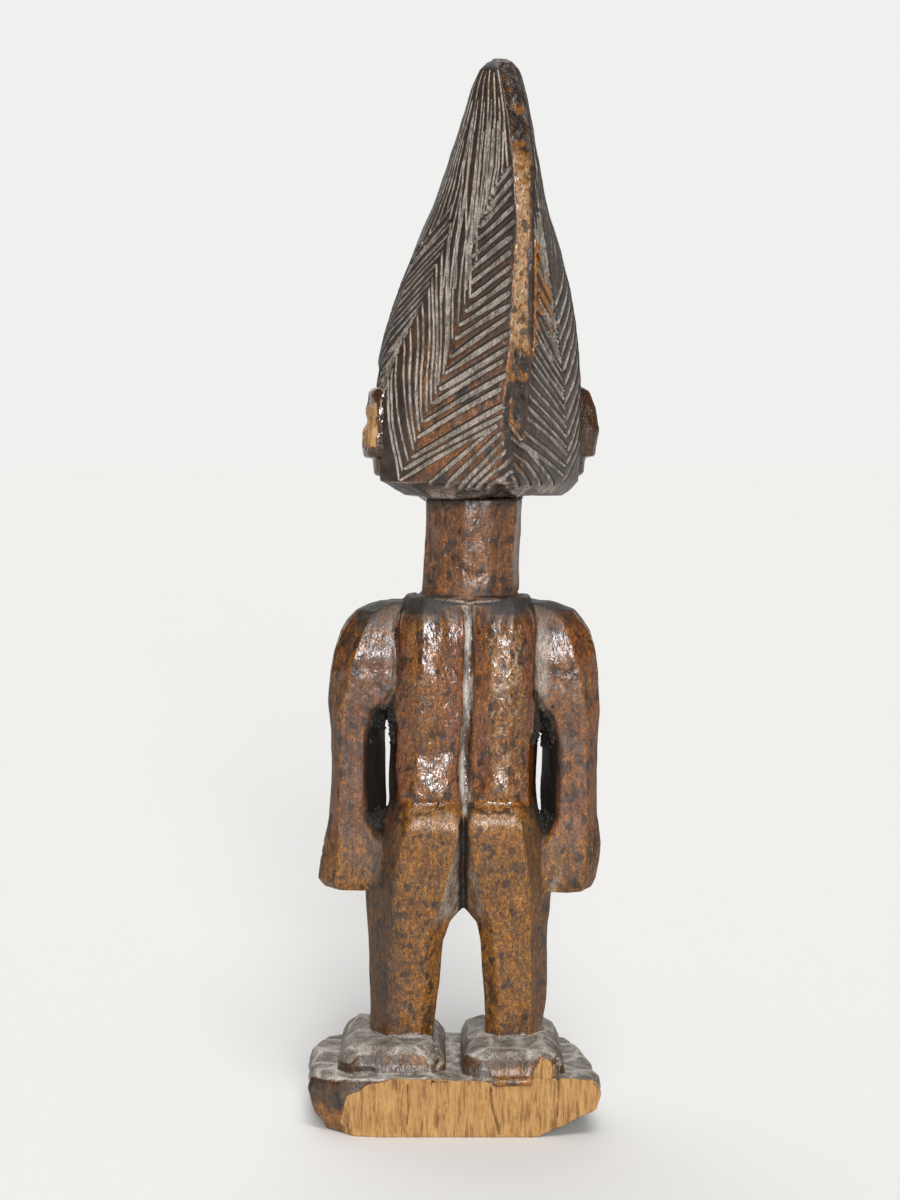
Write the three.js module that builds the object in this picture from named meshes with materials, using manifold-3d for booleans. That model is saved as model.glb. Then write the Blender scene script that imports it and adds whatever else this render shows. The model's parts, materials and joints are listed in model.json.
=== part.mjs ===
// A carved wooden twin figure, cut from one block together with the base that it stands on.
// Units are millimetres. +Z is up, the figure faces -Y, and its left side is +X.
// The origin is on the underside of the base, below the neck.
import * as THREE from 'three';
import Module from 'manifold-3d';
import { mergeVertices } from 'three/addons/utils/BufferGeometryUtils.js';

const wasm = await Module();
wasm.setup();

// Driving sizes
const FIGURE_HEIGHT = 256.5; // from the top of the base to the tip of the hair
const CANON = 256.5; // parts that the figure's height is divided into
const BASE_THICKNESS = 15;
const BASE_WIDTH = 75;
const BASE_DEPTH = 50;
const BASE_SHIFT = 3; // the base's middle lies a little to the left of the body's axis
const HEAD_TURN = 20; // degrees that the face is turned to the figure's left
const GROOVE_DEPTH = 0.9; // of the cuts in the hair
const GROOVE_LIFT = 0.9; // how far a cutting tool stands above the surface

// Every level and width of the figure below is in parts of its own height, levels from the base's top.
const part = FIGURE_HEIGHT / CANON;

// Linear look-up in a list of [level, value, value, ...] rows
function valuesAt(rows, level) {
  const last = rows.length - 1;
  let i = 0;
  while (i < last - 1 && rows[i + 1][0] < level) i += 1;
  const [low, high] = [rows[i], rows[i + 1]];
  const t = THREE.MathUtils.clamp((level - low[0]) / (high[0] - low[0]), 0, 1);
  return low.slice(1).map((value, k) => THREE.MathUtils.lerp(value, high[k + 1], t));
}

// Turns a list of closed rings, lowest first, each counterclockwise from above, into one closed skin
function loft(rings) {
  const count = rings[0].length;
  const positions = [];
  const index = [];
  for (const ring of rings) {
    for (const point of ring) positions.push(point.x, point.y, point.z);
  }
  for (let r = 0; r + 1 < rings.length; r += 1) {
    for (let i = 0; i < count; i += 1) {
      const a = r * count + i;
      const b = r * count + (i + 1) % count;
      index.push(a, b, b + count, a, b + count, a + count);
    }
  }
  for (const [r, flip] of [[0, true], [rings.length - 1, false]]) {
    const centre = new THREE.Vector3();
    for (const point of rings[r]) centre.addScaledVector(point, 1 / count);
    const hub = positions.length / 3;
    positions.push(centre.x, centre.y, centre.z);
    for (let i = 0; i < count; i += 1) {
      const a = r * count + i;
      const b = r * count + (i + 1) % count;
      if (flip) index.push(hub, b, a);
      else index.push(hub, a, b);
    }
  }
  const geometry = new THREE.BufferGeometry();
  geometry.setAttribute('position', new THREE.Float32BufferAttribute(positions, 3));
  geometry.setIndex(index);
  return geometry;
}

// A closed geometry as a solid that can be joined and cut
function solid(geometry) {
  const bare = geometry.clone();
  bare.deleteAttribute('normal');
  bare.deleteAttribute('uv');
  const merged = mergeVertices(bare, 1e-5);
  return new wasm.Manifold(new wasm.Mesh({
    numProp: 3,
    vertProperties: new Float32Array(merged.attributes.position.array),
    triVerts: new Uint32Array(merged.index.array),
  }));
}

const join = (solids) => solids.reduce((whole, next) => whole.add(next));

// A point of the body, given in parts, in millimetres above the underside
const bodyPoint = (x, y, level) => new THREE.Vector3(x * part, y * part, BASE_THICKNESS + level * part);

// Limbs: one ring of eight corners per row of
// [level, outer, inner at the back, inner at the front, back, front].
// The corners are cut off as a knife leaves them, and the side is +1 for the figure's left.
function limb(side, rows, innerCorner) {
  return solid(loft(rows.map(([level, outer, innerBack, innerFront, back, front]) => {
    const width = outer - innerBack;
    const depth = back - front;
    const [along, into] = valuesAt(innerCorner, level);
    const corners = [
      [outer, front + 0.32 * depth],
      [outer, back - 0.3 * depth],
      [outer - 0.26 * width, back],
      [innerBack + along * width, back],
      [innerBack, back - into * depth],
      [innerFront, front + 0.24 * depth],
      [innerFront + 0.26 * width, front],
      [outer - 0.3 * width, front],
    ];
    const ring = corners.map(([x, y]) => bodyPoint(side * x, y, level));
    return side > 0 ? ring : ring.reverse();
  })));
}

const ARM_CORNER = [[0, 0.1, 0.07], [CANON, 0.1, 0.07]];

// Arms hang free of the body from the armpit to the hip and end in square hands that rest on the thighs.
const LEFT_ARM = [
  [45.5, 36.4, 21, 21, 10.2, -8.6],
  [47.8, 38.2, 20, 20, 11.4, -9.4],
  [52, 37.6, 20, 20, 11.8, -9.6],
  [57.3, 36.8, 20, 19.4, 11.4, -9.4],
  [60, 36.2, 22.4, 19, 10.8, -9],
  [64, 35.4, 25.2, 20.7, 10.6, -9],
  [76, 34.5, 25.4, 20.8, 11, -9.2],
  [86, 34.8, 25, 20.8, 11.2, -9.6],
  [92.5, 35.4, 23.2, 20.4, 11.6, -9.8],
  [95.5, 35.5, 19, 17, 11.8, -10],
  [102, 34.9, 15, 14, 12.2, -10.2],
  [107.1, 33.9, 12, 12, 12.4, -10.4],
  [112.4, 32.2, 10, 10, 12.2, -10.4],
  [115, 30.6, 9, 9, 11.6, -10],
  [117.6, 28, 8, 8, 10.6, -9.2],
  [120, 22, 6, 6, 9, -8],
];
const RIGHT_ARM = [
  [45.1, 33, 20, 20, 10, -8.6],
  [47.8, 34.2, 19, 19, 11.2, -9.4],
  [52, 34.9, 19, 19, 11.6, -9.6],
  [57.3, 35.3, 19, 19, 11.4, -9.4],
  [60, 35, 21.2, 18.4, 10.8, -9],
  [64, 34.3, 23.2, 20, 10.6, -9],
  [76, 34.2, 23.4, 20.2, 11, -9.2],
  [86, 34.5, 23, 20.2, 11.2, -9.6],
  [90.5, 34.9, 21.8, 19.6, 11.4, -9.8],
  [94, 34.9, 18.6, 17, 11.8, -10],
  [102, 34.6, 15, 14, 12.2, -10.2],
  [107.1, 33.8, 12, 12, 12.4, -10.4],
  [112.4, 32.4, 10, 10, 12.2, -10.4],
  [115, 30.8, 9, 9, 11.6, -10],
  [117.6, 28.4, 8, 8, 10.6, -9.2],
  [120, 22, 6, 6, 9, -8],
];

// Legs rise from the feet, swell to the thighs and end in the buttock's shelf under the flat back.
const LEFT_LEG = [
  [-4, 24.5, 8.6, 8.6, 9, -8],
  [7.5, 24.5, 8.3, 8.3, 9.4, -8.4],
  [16, 24.8, 7.3, 7.3, 10.8, -9.2],
  [32, 25, 5.7, 5.7, 13.4, -11],
  [37, 25.2, 3.9, 3.9, 14.3, -11.6],
  [40.5, 25.4, 0.2, 0.2, 15, -12],
  [46, 25.4, 0.2, 0.2, 16.2, -12.4],
  [55, 23, 0.2, 0.2, 18, -13],
  [62.6, 20.6, 0.2, 0.2, 19.6, -14],
  [65.4, 20, 0.2, 0.2, 19, -14.2],
  [69.4, 19.4, 0.2, 0.2, 15, -14.6],
  [72, 18, 0.2, 0.2, 12, -13],
];
const RIGHT_LEG = [
  [-4, 19.9, 5.5, 5.5, 9, -8],
  [7.5, 20.2, 5.5, 5.5, 9.4, -8.4],
  [16, 21.3, 5.2, 5.2, 10.8, -9.2],
  [32, 21.4, 3.9, 3.9, 13.4, -11],
  [37, 21.6, 2.9, 2.9, 14.3, -11.6],
  [40.5, 22, -0.6, -0.6, 15, -12],
  [46, 22.5, -0.6, -0.6, 16.2, -12.4],
  [55, 21.4, -0.6, -0.6, 18, -13],
  [63.8, 19.4, -0.6, -0.6, 19.6, -14],
  [66.2, 19, -0.6, -0.6, 19, -14.2],
  [69.4, 18.6, -0.6, -0.6, 15, -14.6],
  [72, 17.4, -0.6, -0.6, 12, -13],
];

// The seat's cleft: shares of the thigh's width and depth that its slanted inner face takes, by level
const CLEFT = [[36, 0.2, 0.16], [40, 0.26, 0.34], [48, 0.18, 0.26], [62, 0.07, 0.16], [72, 0.06, 0.1]];

// Trunk: two long flat panels with a groove along the spine between them, and a plain front.
// Rows are [level, left, right, back, front, depth of the spine's groove, x of the spine].
const TRUNK = [
  [42, 19, -17, 3, -12.4, 0.5, 0.4],
  [56, 19.8, -18.6, 10, -14.4, 1.5, 0.6],
  [66, 19.6, -18.5, 14, -15.8, 1.9, 1],
  [72, 19.5, -18.4, 14.6, -16.4, 2, 1.6],
  [82, 19.2, -18.5, 15, -16, 2, 1],
  [95, 18.9, -18.9, 15.4, -14.6, 2, 0.2],
  [108, 18.7, -19.3, 15.8, -13.8, 2.2, -0.8],
  [114.6, 18.5, -19.4, 15.6, -13.2, 2.4, -1.1],
  [117.4, 18, -18.8, 15.2, -12.6, 2.4, -1.2],
  [121.6, 15, -16.6, 12.8, -11, 1, -1.2],
];

function trunk() {
  return solid(loft(TRUNK.map(([level, left, right, back, front, groove, spine]) => {
    const toLeft = left - spine;
    const toRight = spine - right;
    const depth = back - front;
    const corners = [
      [left, front + 0.3 * depth],
      [left, back - 0.26 * depth],
      [spine + 0.9 * toLeft, back - 0.08 * depth],
      [spine + 0.62 * toLeft, back],
      [spine + 0.16 * toLeft, back - 0.01 * depth],
      [spine, back - groove],
      [spine - 0.1 * toRight, back - 0.01 * depth],
      [spine - 0.62 * toRight, back],
      [spine - 0.9 * toRight, back - 0.08 * depth],
      [right, back - 0.26 * depth],
      [right, front + 0.3 * depth],
      [spine - 0.6 * toRight, front + 0.06 * depth],
      [spine, front],
      [spine + 0.6 * toLeft, front + 0.06 * depth],
    ];
    return corners.map(([x, y]) => bodyPoint(x, y, level));
  })));
}

// Neck: a post with eleven knife-cut flats, from [level, middle x, middle y, half width, half depth]
const NECK_FLATS = 11;
const NECK = [
  [116, -1.2, 0, 13.2, 12.6],
  [121.8, -1.2, 0, 13, 12.4],
  [130, -1.4, 0.4, 12.8, 12],
  [138, -1.9, 1, 12.6, 11.8],
  [152, -2.5, 2, 12.7, 11.8],
];

function neck() {
  return solid(loft(NECK.map(([level, x, y, halfWidth, halfDepth]) => {
    const ring = [];
    for (let i = 0; i < NECK_FLATS; i += 1) {
      const angle = ((i + 0.5) / NECK_FLATS) * 2 * Math.PI;
      ring.push(bodyPoint(x + halfWidth * Math.cos(angle), y + halfDepth * Math.sin(angle), level));
    }
    return ring;
  })));
}

// The head has a frame of its own, with its axis over the neck and turned about it.
const HEAD_AXIS = [-3.6, 1];

function headPoint(x, y, level) {
  const turn = THREE.MathUtils.degToRad(HEAD_TURN);
  const cos = Math.cos(turn);
  const sin = Math.sin(turn);
  return bodyPoint(HEAD_AXIS[0] + x * cos - y * sin, HEAD_AXIS[1] + x * sin + y * cos, level);
}

// Face: rows of [level, half width, how far it reaches forward, how far back]
const FACE_SIDES = 20;
const FACE = [
  [142.6, 5, 21, -6],
  [143.6, 7.4, 24.6, 0],
  [146.4, 12, 27, 6],
  [150, 16.6, 27.2, 10],
  [155, 20.4, 26.4, 14],
  [161, 22.8, 25.2, 14],
  [168, 23.8, 25, 14],
  [176, 23.2, 25, 14],
  [183, 21.6, 23.6, 14],
  [188, 20, 21, 14],
];

function roundedRing(halfWidth, forward, back, level) {
  const ring = [];
  for (let i = 0; i < FACE_SIDES; i += 1) {
    const angle = ((i + 0.5) / FACE_SIDES) * 2 * Math.PI;
    const cos = Math.cos(angle);
    const sin = Math.sin(angle);
    const x = halfWidth * Math.sign(cos) * Math.abs(cos) ** 0.85;
    const reach = sin > 0 ? back : forward;
    ring.push(headPoint(x, reach * Math.sign(sin) * Math.abs(sin) ** 0.85, level));
  }
  return ring;
}

// An egg shape in the head's frame, for the eyes, the lips and the hollow of an ear
function ellipsoid(x, y, level, halfWidth, halfDepth, halfHeight, segments = 12) {
  const geometry = new THREE.SphereGeometry(1, segments, Math.round(segments * 0.6));
  geometry.rotateX(Math.PI / 2);
  geometry.scale(halfWidth * part, halfDepth * part, halfHeight * part);
  geometry.rotateZ(THREE.MathUtils.degToRad(HEAD_TURN));
  const place = headPoint(x, y, level);
  geometry.translate(place.x, place.y, place.z);
  return solid(geometry);
}

// The nose's rows of [level, half width, reach forward], and where it leaves the face
const NOSE = [
  [158.6, 4.6, 29.6], [160, 4.8, 31.2], [163, 3.2, 29.8], [168, 1.9, 27.4], [173, 1.6, 25.8],
];
const NOSE_ROOT = -20;
const NOSE_CHEEK = -25;
// Eyes and lips as [x, y, level] of the middle and half [width, depth, height]
const EYE = { middle: [10, -22, 168.6], half: [5.6, 4.4, 3.3] };
const UPPER_LIP = { middle: [0, -25.2, 154.2], half: [6.6, 3.2, 1.5] };
const LOWER_LIP = { middle: [0, -25.2, 151.2], half: [5.8, 3, 1.6] };

function nose() {
  return solid(loft(NOSE.map(([level, halfWidth, forward]) => [
    headPoint(halfWidth, NOSE_ROOT, level),
    headPoint(-halfWidth, NOSE_ROOT, level),
    headPoint(-halfWidth, NOSE_CHEEK, level),
    headPoint(-0.4 * halfWidth, -forward, level),
    headPoint(0.4 * halfWidth, -forward, level),
    headPoint(halfWidth, NOSE_CHEEK, level),
  ])));
}

function face() {
  const features = [nose()];
  for (const side of [1, -1]) {
    const [x, y, level] = EYE.middle;
    features.push(ellipsoid(side * x, y, level, ...EYE.half));
  }
  for (const lip of [UPPER_LIP, LOWER_LIP]) features.push(ellipsoid(...lip.middle, ...lip.half));
  const skull = FACE.map(([level, halfWidth, forward, back]) => roundedRing(halfWidth, forward, back, level));
  return join([solid(loft(skull)), ...features]);
}

// Ears: standing plates with a hollow in front and a small lobe below, given by their reach from the axis
const LEFT_EAR = 31.2;
const RIGHT_EAR = 32.6;

// Rows of [level, how far short of the reach, front, back], the inner edge and the cut corners
const EAR_ROWS = [
  [151.6, 5, -2.4, 1.4], [153, 3.4, -3.4, 2.4], [157, 3, -3.4, 2.6], [157.4, 0.8, -4, 3.4],
  [164, 0, -5, 4], [170, 0.8, -5.6, 4], [174.4, 2.4, -5, 3.4], [176, 4.4, -3, 2.2],
];
const EAR_ROOT = 20;
const EAR_CORNER = 1.4;
const EAR_HOLLOW = { y: -2, level: 165.6, half: [2.2, 2.4, 5.2] };

function ear(side, reach) {
  const plate = solid(loft(EAR_ROWS.map(([level, short, front, back]) => {
    const outer = reach - short;
    const ring = [
      [outer, front + EAR_CORNER], [outer, back - EAR_CORNER], [outer - EAR_CORNER, back],
      [EAR_ROOT, back], [EAR_ROOT, front], [outer - EAR_CORNER, front],
    ].map(([x, y]) => headPoint(side * x, y, level));
    return side > 0 ? ring : ring.reverse();
  })));
  return plate.subtract(ellipsoid(side * reach, EAR_HOLLOW.y, EAR_HOLLOW.level, ...EAR_HOLLOW.half));
}

// Hair: a tall crest with a flat ridge down the back. A ring of it is one outline from the ridge (0)
// round the side (0.5) to the middle of the front (1), drawn alike on both sides.
// Rows are [level, half width, ridge's reach back, reach forward, shift sideways, y of the widest place].
const RIDGE_HALF_WIDTH = 2.4;
const HAIR = [
  [147.4, 21.5, 18.6, 9, -0.8, 2],
  [151, 27.2, 23.2, 10, 0.2, 2],
  [157, 27.7, 25.6, 11, -0.1, 2],
  [165, 28.4, 27.4, 12, 0.4, 2],
  [175, 28.2, 28.2, 14, -0.2, 1],
  [179.6, 27.4, 28.2, 16, -0.75, 0.4],
  [181.6, 26.8, 28.3, 25.6, -1.2, 0],
  [186, 26.3, 28.4, 25, -1.6, -0.6],
  [197, 23.7, 29.6, 20, -1.5, 1.5],
  [209, 19.6, 31, 14, -0.9, 4.6],
  [221, 14.1, 31.6, 8, 0.2, 9],
  [233, 10.5, 29.4, 1, 0.5, 11.8],
  [243, 8.2, 25.6, -5, 0.1, 13.4],
  [250, 6.8, 21.6, -9, -0.1, 13.6],
  [254, 5.2, 18.6, -10.8, -0.4, 13.8],
  [255.6, 3.6, 16.9, -11.8, -0.5, 14],
  [256.5, 1.8, 15.6, -12.8, -0.5, 14],
];
const HAIR_SPLIT = { ridge: 5, front: 5 }; // pieces of the outline behind and before the widest place

function hairPoint(side, along, level) {
  const [halfWidth, back, forward, shift, widest] = valuesAt(HAIR, level);
  const ridge = Math.min(RIDGE_HALF_WIDTH, 0.3 * halfWidth);
  if (along <= 0.5) {
    const curve = new THREE.QuadraticBezierCurve(
      new THREE.Vector2(ridge, back),
      new THREE.Vector2(0.86 * halfWidth, widest + 0.5 * (back - widest)),
      new THREE.Vector2(halfWidth, widest),
    );
    const point = curve.getPoint(along * 2);
    return headPoint(shift + side * point.x, point.y, level);
  }
  const angle = (along - 0.5) * Math.PI;
  const x = halfWidth * Math.max(Math.cos(angle), 0) ** 0.9;
  const y = widest - (widest + forward) * Math.sin(angle) ** 0.9;
  return headPoint(shift + side * x, y, level);
}

function hair() {
  const steps = [];
  for (let i = 0; i <= HAIR_SPLIT.ridge; i += 1) steps.push((0.5 * i) / HAIR_SPLIT.ridge);
  for (let i = 1; i < HAIR_SPLIT.front; i += 1) steps.push(0.5 + (0.5 * i) / HAIR_SPLIT.front);
  return solid(loft(HAIR.map(([level]) => {
    const left = steps.map((along) => hairPoint(1, along, level));
    const right = steps.map((along) => hairPoint(-1, along, level));
    return [...left.reverse(), ...right, hairPoint(1, 1, level)];
  })));
}

// Lines on the hair that its cuts run between, as [level, place along the outline]
const LINES = {
  ridge: [[150, 0.01], [250, 0.01]],
  leftValley: [[150, 0.42], [154, 0.35], [161, 0.27], [168, 0.21], [180, 0.175], [205, 0.15], [223, 0.13]],
  leftPeak: [[175, 0.43], [186, 0.4], [194, 0.37], [199, 0.335], [220, 0.33]],
  rightValley: [[156, 0.25], [166, 0.235], [174, 0.22], [182, 0.18], [192, 0.16], [207, 0.11], [225, 0.08]],
  side: [[150, 0.5], [250, 0.5]],
  flank: [[150, 0.66], [250, 0.66]],
  front: [[150, 0.97], [250, 0.97]],
};

// Rows of cuts, as [side, line that they leave, first and last level on it, line that they reach,
// first and last level on that, number of cuts, width]
const ROWS = [
  [1, 'leftValley', [213, 186], 'ridge', [221.5, 198], 8, 1.5],
  [1, 'leftValley', [181, 151.5], 'ridge', [193.5, 165.5], 6, 2.1],
  [1, 'leftPeak', [219, 182], 'leftValley', [181, 151.5], 6, 1.4],
  [1, 'leftPeak', [219, 178], 'flank', [192, 152], 11, 1.3],
  [-1, 'ridge', [222, 164], 'rightValley', [207, 156], 13, 1.5],
  [-1, 'side', [205, 168], 'rightValley', [188, 152], 7, 1.2],
  [-1, 'side', [212, 182], 'front', [202, 184], 5, 1.4],
  [1, 'flank', [208, 184], 'front', [216, 190], 5, 1.4],
];

// Single cuts, as [side, first level, place along the outline there, last level, place there]
const TIP = 246;
const RIM_MARGIN = 2; // the lowest cuts end this far above the hair's lower edge
const RIM = HAIR[0][0] + RIM_MARGIN;
const SINGLE_CUTS = [
  [1, TIP, 0.05, 222, 0.13], [1, TIP, 0.16, 205, 0.165], [1, TIP, 0.26, 190, 0.21], [1, TIP, 0.38, 184, 0.3],
  [1, TIP, 0.5, 205, 0.52], [1, TIP, 0.7, 214, 0.78],
  [-1, TIP, 0.06, 222, 0.1], [-1, TIP, 0.22, 208, 0.3], [-1, TIP, 0.45, 206, 0.5], [-1, TIP, 0.75, 208, 0.8],
  [1, 164, 0.01, RIM, 0.14], [1, 158, 0.01, RIM, 0.06], [-1, 163, 0.01, RIM, 0.2], [-1, 157, 0.01, RIM, 0.1],
];
const SINGLE_WIDTH = 1.3;

// One cut: a three-sided tool laid along a path on the hair, its edge below the surface
function cut(side, start, end, width) {
  const pieces = 4;
  const rings = [];
  const at = (t) => [
    THREE.MathUtils.lerp(start[1], end[1], t),
    THREE.MathUtils.lerp(start[0], end[0], t),
  ];
  for (let i = 0; i <= pieces; i += 1) {
    const t = i / pieces;
    const [along, level] = at(t);
    const here = hairPoint(side, along, level);
    const [nearAlong, nearLevel] = at(t - 0.02);
    const [farAlong, farLevel] = at(t + 0.02);
    const near = hairPoint(side, Math.max(nearAlong, 0), nearLevel);
    const way = hairPoint(side, Math.min(farAlong, 1), farLevel).sub(near).normalize();
    const round = hairPoint(side, Math.min(along + 0.02, 1), level);
    const back = hairPoint(side, Math.max(along - 0.02, 0), level);
    const across = round.sub(back);
    const up = hairPoint(side, along, level + 1).sub(hairPoint(side, along, level - 1));
    const out = across.cross(up).normalize().multiplyScalar(side > 0 ? -1 : 1);
    const sideways = way.clone().cross(out).normalize();
    const half = (width / 2) * part * (1 + GROOVE_LIFT / GROOVE_DEPTH);
    rings.push([
      here.clone().addScaledVector(out, -GROOVE_DEPTH * part),
      here.clone().addScaledVector(out, GROOVE_LIFT * part).addScaledVector(sideways, -half),
      here.clone().addScaledVector(out, GROOVE_LIFT * part).addScaledVector(sideways, half),
    ]);
  }
  return solid(loft(rings));
}

function hairCuts() {
  const cuts = [];
  const lineAt = (name, level) => valuesAt(LINES[name], level)[0];
  for (const [side, from, starts, to, ends, count, width] of ROWS) {
    for (let i = 0; i < count; i += 1) {
      const t = i / (count - 1);
      const start = THREE.MathUtils.lerp(starts[0], starts[1], t);
      const end = THREE.MathUtils.lerp(ends[0], ends[1], t);
      cuts.push(cut(side, [start, lineAt(from, start)], [end, lineAt(to, end)], width));
    }
  }
  for (const [side, first, start, last, end] of SINGLE_CUTS) {
    cuts.push(cut(side, [first, start], [last, end], SINGLE_WIDTH));
  }
  return cuts;
}

// Base: an uneven slab with bevelled edges, broken off flat and bare at the back.
// The outline runs counterclockwise from above, in shares of half the width and half the depth.
const BASE_OUTLINE = [
  [1, 0.72], [0.78, 0.96], [0.56, 1], [-1, 1], [-1, 0.68], [-0.96, -0.1], [-0.85, -0.78], [-0.62, -1],
  [0.76, -1], [0.95, -0.86], [1.03, -0.45],
];
const BASE_BREAK = { from: -18, rise: 8, turn: 14 }; // the underside's right back corner is split away

// Rows up the slab: [share of its thickness, inset at the sides, inset at the front]
const BASE_ROWS = [[0, 5, 1.5], [0.25, 2.2, 0.6], [0.72, 0, 0], [0.9, 0.7, 0.6], [1, 2.2, 2]];
const BASE_BACK = 0.9; // from this share of the depth on, the sheer back isn't inset

function baseRing([share, sideInset, frontInset]) {
  return BASE_OUTLINE.map(([x, y]) => new THREE.Vector3(
    BASE_SHIFT + x * (BASE_WIDTH / 2 - sideInset),
    y * (BASE_DEPTH / 2 - (y > BASE_BACK ? 0 : frontInset)),
    share * BASE_THICKNESS,
  ));
}

function base() {
  const skin = loft(BASE_ROWS.map(baseRing));
  const reach = BASE_WIDTH;
  const chip = new THREE.BoxGeometry(reach, reach, reach);
  chip.translate(-reach / 2, reach / 2, -reach / 2);
  chip.rotateY(Math.atan2(BASE_BREAK.rise, BASE_WIDTH / 2 + BASE_BREAK.from - BASE_SHIFT));
  const turn = THREE.MathUtils.degToRad(BASE_BREAK.turn);
  chip.rotateZ(-turn);
  chip.translate(BASE_BREAK.from - BASE_DEPTH * Math.tan(turn), -BASE_DEPTH / 2, 0);
  return solid(skin).subtract(solid(chip));
}

// Feet: bevelled blocks that fall away a little to heel and toes. Rows are [level at the ankle, inset]
const FOOT_ROWS = [[-4, 0], [3, 0], [6, 1.6], [8, 4.4]];
const FOOT_CORNER = 3.4;
const FOOT_FALL = { from: 8, slope: 0.14 }; // starts this far from the body's axis, for the top row
const LEFT_FOOT = { left: 32.6, right: 5.4, back: 20.6, front: -20 };
const RIGHT_FOOT = { left: 0.8, right: -25.2, back: 24, front: -19 };

function foot({ left, right, back, front }) {
  const top = FOOT_ROWS[FOOT_ROWS.length - 1][0];
  return solid(loft(FOOT_ROWS.map(([level, inset]) => {
    const [l, r, b, f] = [left - inset, right + inset, back - 0.7 * inset, front + inset];
    const corners = [
      [l, b - FOOT_CORNER], [l - FOOT_CORNER, b], [r + FOOT_CORNER, b], [r, b - FOOT_CORNER],
      [r, f + FOOT_CORNER], [r + FOOT_CORNER, f], [l - FOOT_CORNER, f], [l, f + FOOT_CORNER],
    ];
    return corners.map(([x, y]) => {
      const fall = Math.max(0, Math.abs(y) - FOOT_FALL.from) * FOOT_FALL.slope;
      return bodyPoint(x, y, level - fall * Math.max(0, level / top));
    });
  })));
}

function figure() {
  const body = join([
    trunk(),
    limb(1, LEFT_ARM, ARM_CORNER),
    limb(-1, RIGHT_ARM, ARM_CORNER),
    limb(1, LEFT_LEG, CLEFT),
    limb(-1, RIGHT_LEG, CLEFT),
    neck(),
    foot(LEFT_FOOT),
    foot(RIGHT_FOOT),
    base(),
  ]);
  const head = join([face(), ear(1, LEFT_EAR), ear(-1, RIGHT_EAR), hair().subtract(join(hairCuts()))]);
  return body.add(head);
}

function meshOf(name, whole, material) {
  const { numProp, vertProperties, triVerts } = whole.getMesh();
  const positions = [];
  for (let i = 0; i < vertProperties.length; i += numProp) {
    positions.push(...vertProperties.slice(i, i + 3));
  }
  const geometry = new THREE.BufferGeometry();
  geometry.setAttribute('position', new THREE.Float32BufferAttribute(positions, 3));
  geometry.setIndex(Array.from(triVerts));
  geometry.computeVertexNormals();
  const mesh = new THREE.Mesh(geometry, material);
  mesh.name = name;
  return mesh;
}

const wood = new THREE.MeshStandardMaterial({ color: 0x5a3218, roughness: 0.5, metalness: 0 });
const group = new THREE.Group();
group.add(meshOf('figure', figure(), wood));

export default group;
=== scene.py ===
# %% [markdown]
# # A carved twin figure
# The real thing is one block of dense hardwood, cut with an adze and a knife, then handled, washed and
# rubbed with oil and red powder for years. We keep the CAD solid's form and size, and give it what a hand
# leaves on wood: knife facets, the herringbone cuts of the hair, a splintered break, and a worn patina.
# Every length below is in millimetres of a figure 271.5 mm tall, and MM turns it into metres.

# %% Load the frame and measure it
import json
import math
from types import SimpleNamespace

import bmesh
import bpy
import numpy as np
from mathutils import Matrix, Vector
from mathutils.bvhtree import BVHTree
from mathutils.kdtree import KDTree

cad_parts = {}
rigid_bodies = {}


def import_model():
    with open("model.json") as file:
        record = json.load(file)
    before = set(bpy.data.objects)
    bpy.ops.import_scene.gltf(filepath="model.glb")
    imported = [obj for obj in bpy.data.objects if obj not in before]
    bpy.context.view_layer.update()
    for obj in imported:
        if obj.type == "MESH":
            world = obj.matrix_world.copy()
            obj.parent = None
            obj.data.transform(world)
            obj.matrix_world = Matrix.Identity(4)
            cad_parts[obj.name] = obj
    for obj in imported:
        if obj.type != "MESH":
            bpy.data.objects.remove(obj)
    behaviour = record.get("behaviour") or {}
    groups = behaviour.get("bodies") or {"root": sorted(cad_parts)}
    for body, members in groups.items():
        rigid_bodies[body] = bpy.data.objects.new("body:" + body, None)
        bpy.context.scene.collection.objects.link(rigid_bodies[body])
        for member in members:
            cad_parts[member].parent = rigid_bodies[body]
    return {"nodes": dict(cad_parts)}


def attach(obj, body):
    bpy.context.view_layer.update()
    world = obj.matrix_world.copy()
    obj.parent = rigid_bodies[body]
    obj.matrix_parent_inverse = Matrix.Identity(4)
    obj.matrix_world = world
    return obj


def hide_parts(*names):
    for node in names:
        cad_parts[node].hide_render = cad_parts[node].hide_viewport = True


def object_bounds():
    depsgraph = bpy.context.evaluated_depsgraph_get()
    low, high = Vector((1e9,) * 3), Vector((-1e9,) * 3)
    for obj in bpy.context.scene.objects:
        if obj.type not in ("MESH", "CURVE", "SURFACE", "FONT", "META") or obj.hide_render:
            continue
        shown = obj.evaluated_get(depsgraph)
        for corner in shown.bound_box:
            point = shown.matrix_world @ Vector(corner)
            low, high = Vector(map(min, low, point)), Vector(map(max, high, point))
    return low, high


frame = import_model()
cad_low, cad_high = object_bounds()
MODEL_HEIGHT = 271.5
MM = (cad_high.z - cad_low.z) / MODEL_HEIGHT
BASE_TOP = 15
print("one millimetre of the figure is", round(MM, 6), "m")

# %% [markdown]
# ## Helpers
# Meshes are read into numpy arrays in millimetres, worked on there, and written back. Noise comes from a
# hashed lattice, so that it is the same on every run. Named attributes carry to the material what only the
# maker knows: where dust lies, where hands wore the wood and where it is bare.

# %% Reading and writing meshes
def read_points(mesh):
    points = np.empty(len(mesh.vertices) * 3)
    mesh.vertices.foreach_get("co", points)
    return points.reshape(-1, 3) / MM


def write_points(mesh, points):
    mesh.vertices.foreach_set("co", (points * MM).ravel())
    mesh.update()


def read_normals(mesh):
    normals = np.empty(len(mesh.vertices) * 3, np.float32)
    mesh.vertex_normals.foreach_get("vector", normals)
    return normals.reshape(-1, 3).astype(float)


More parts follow.
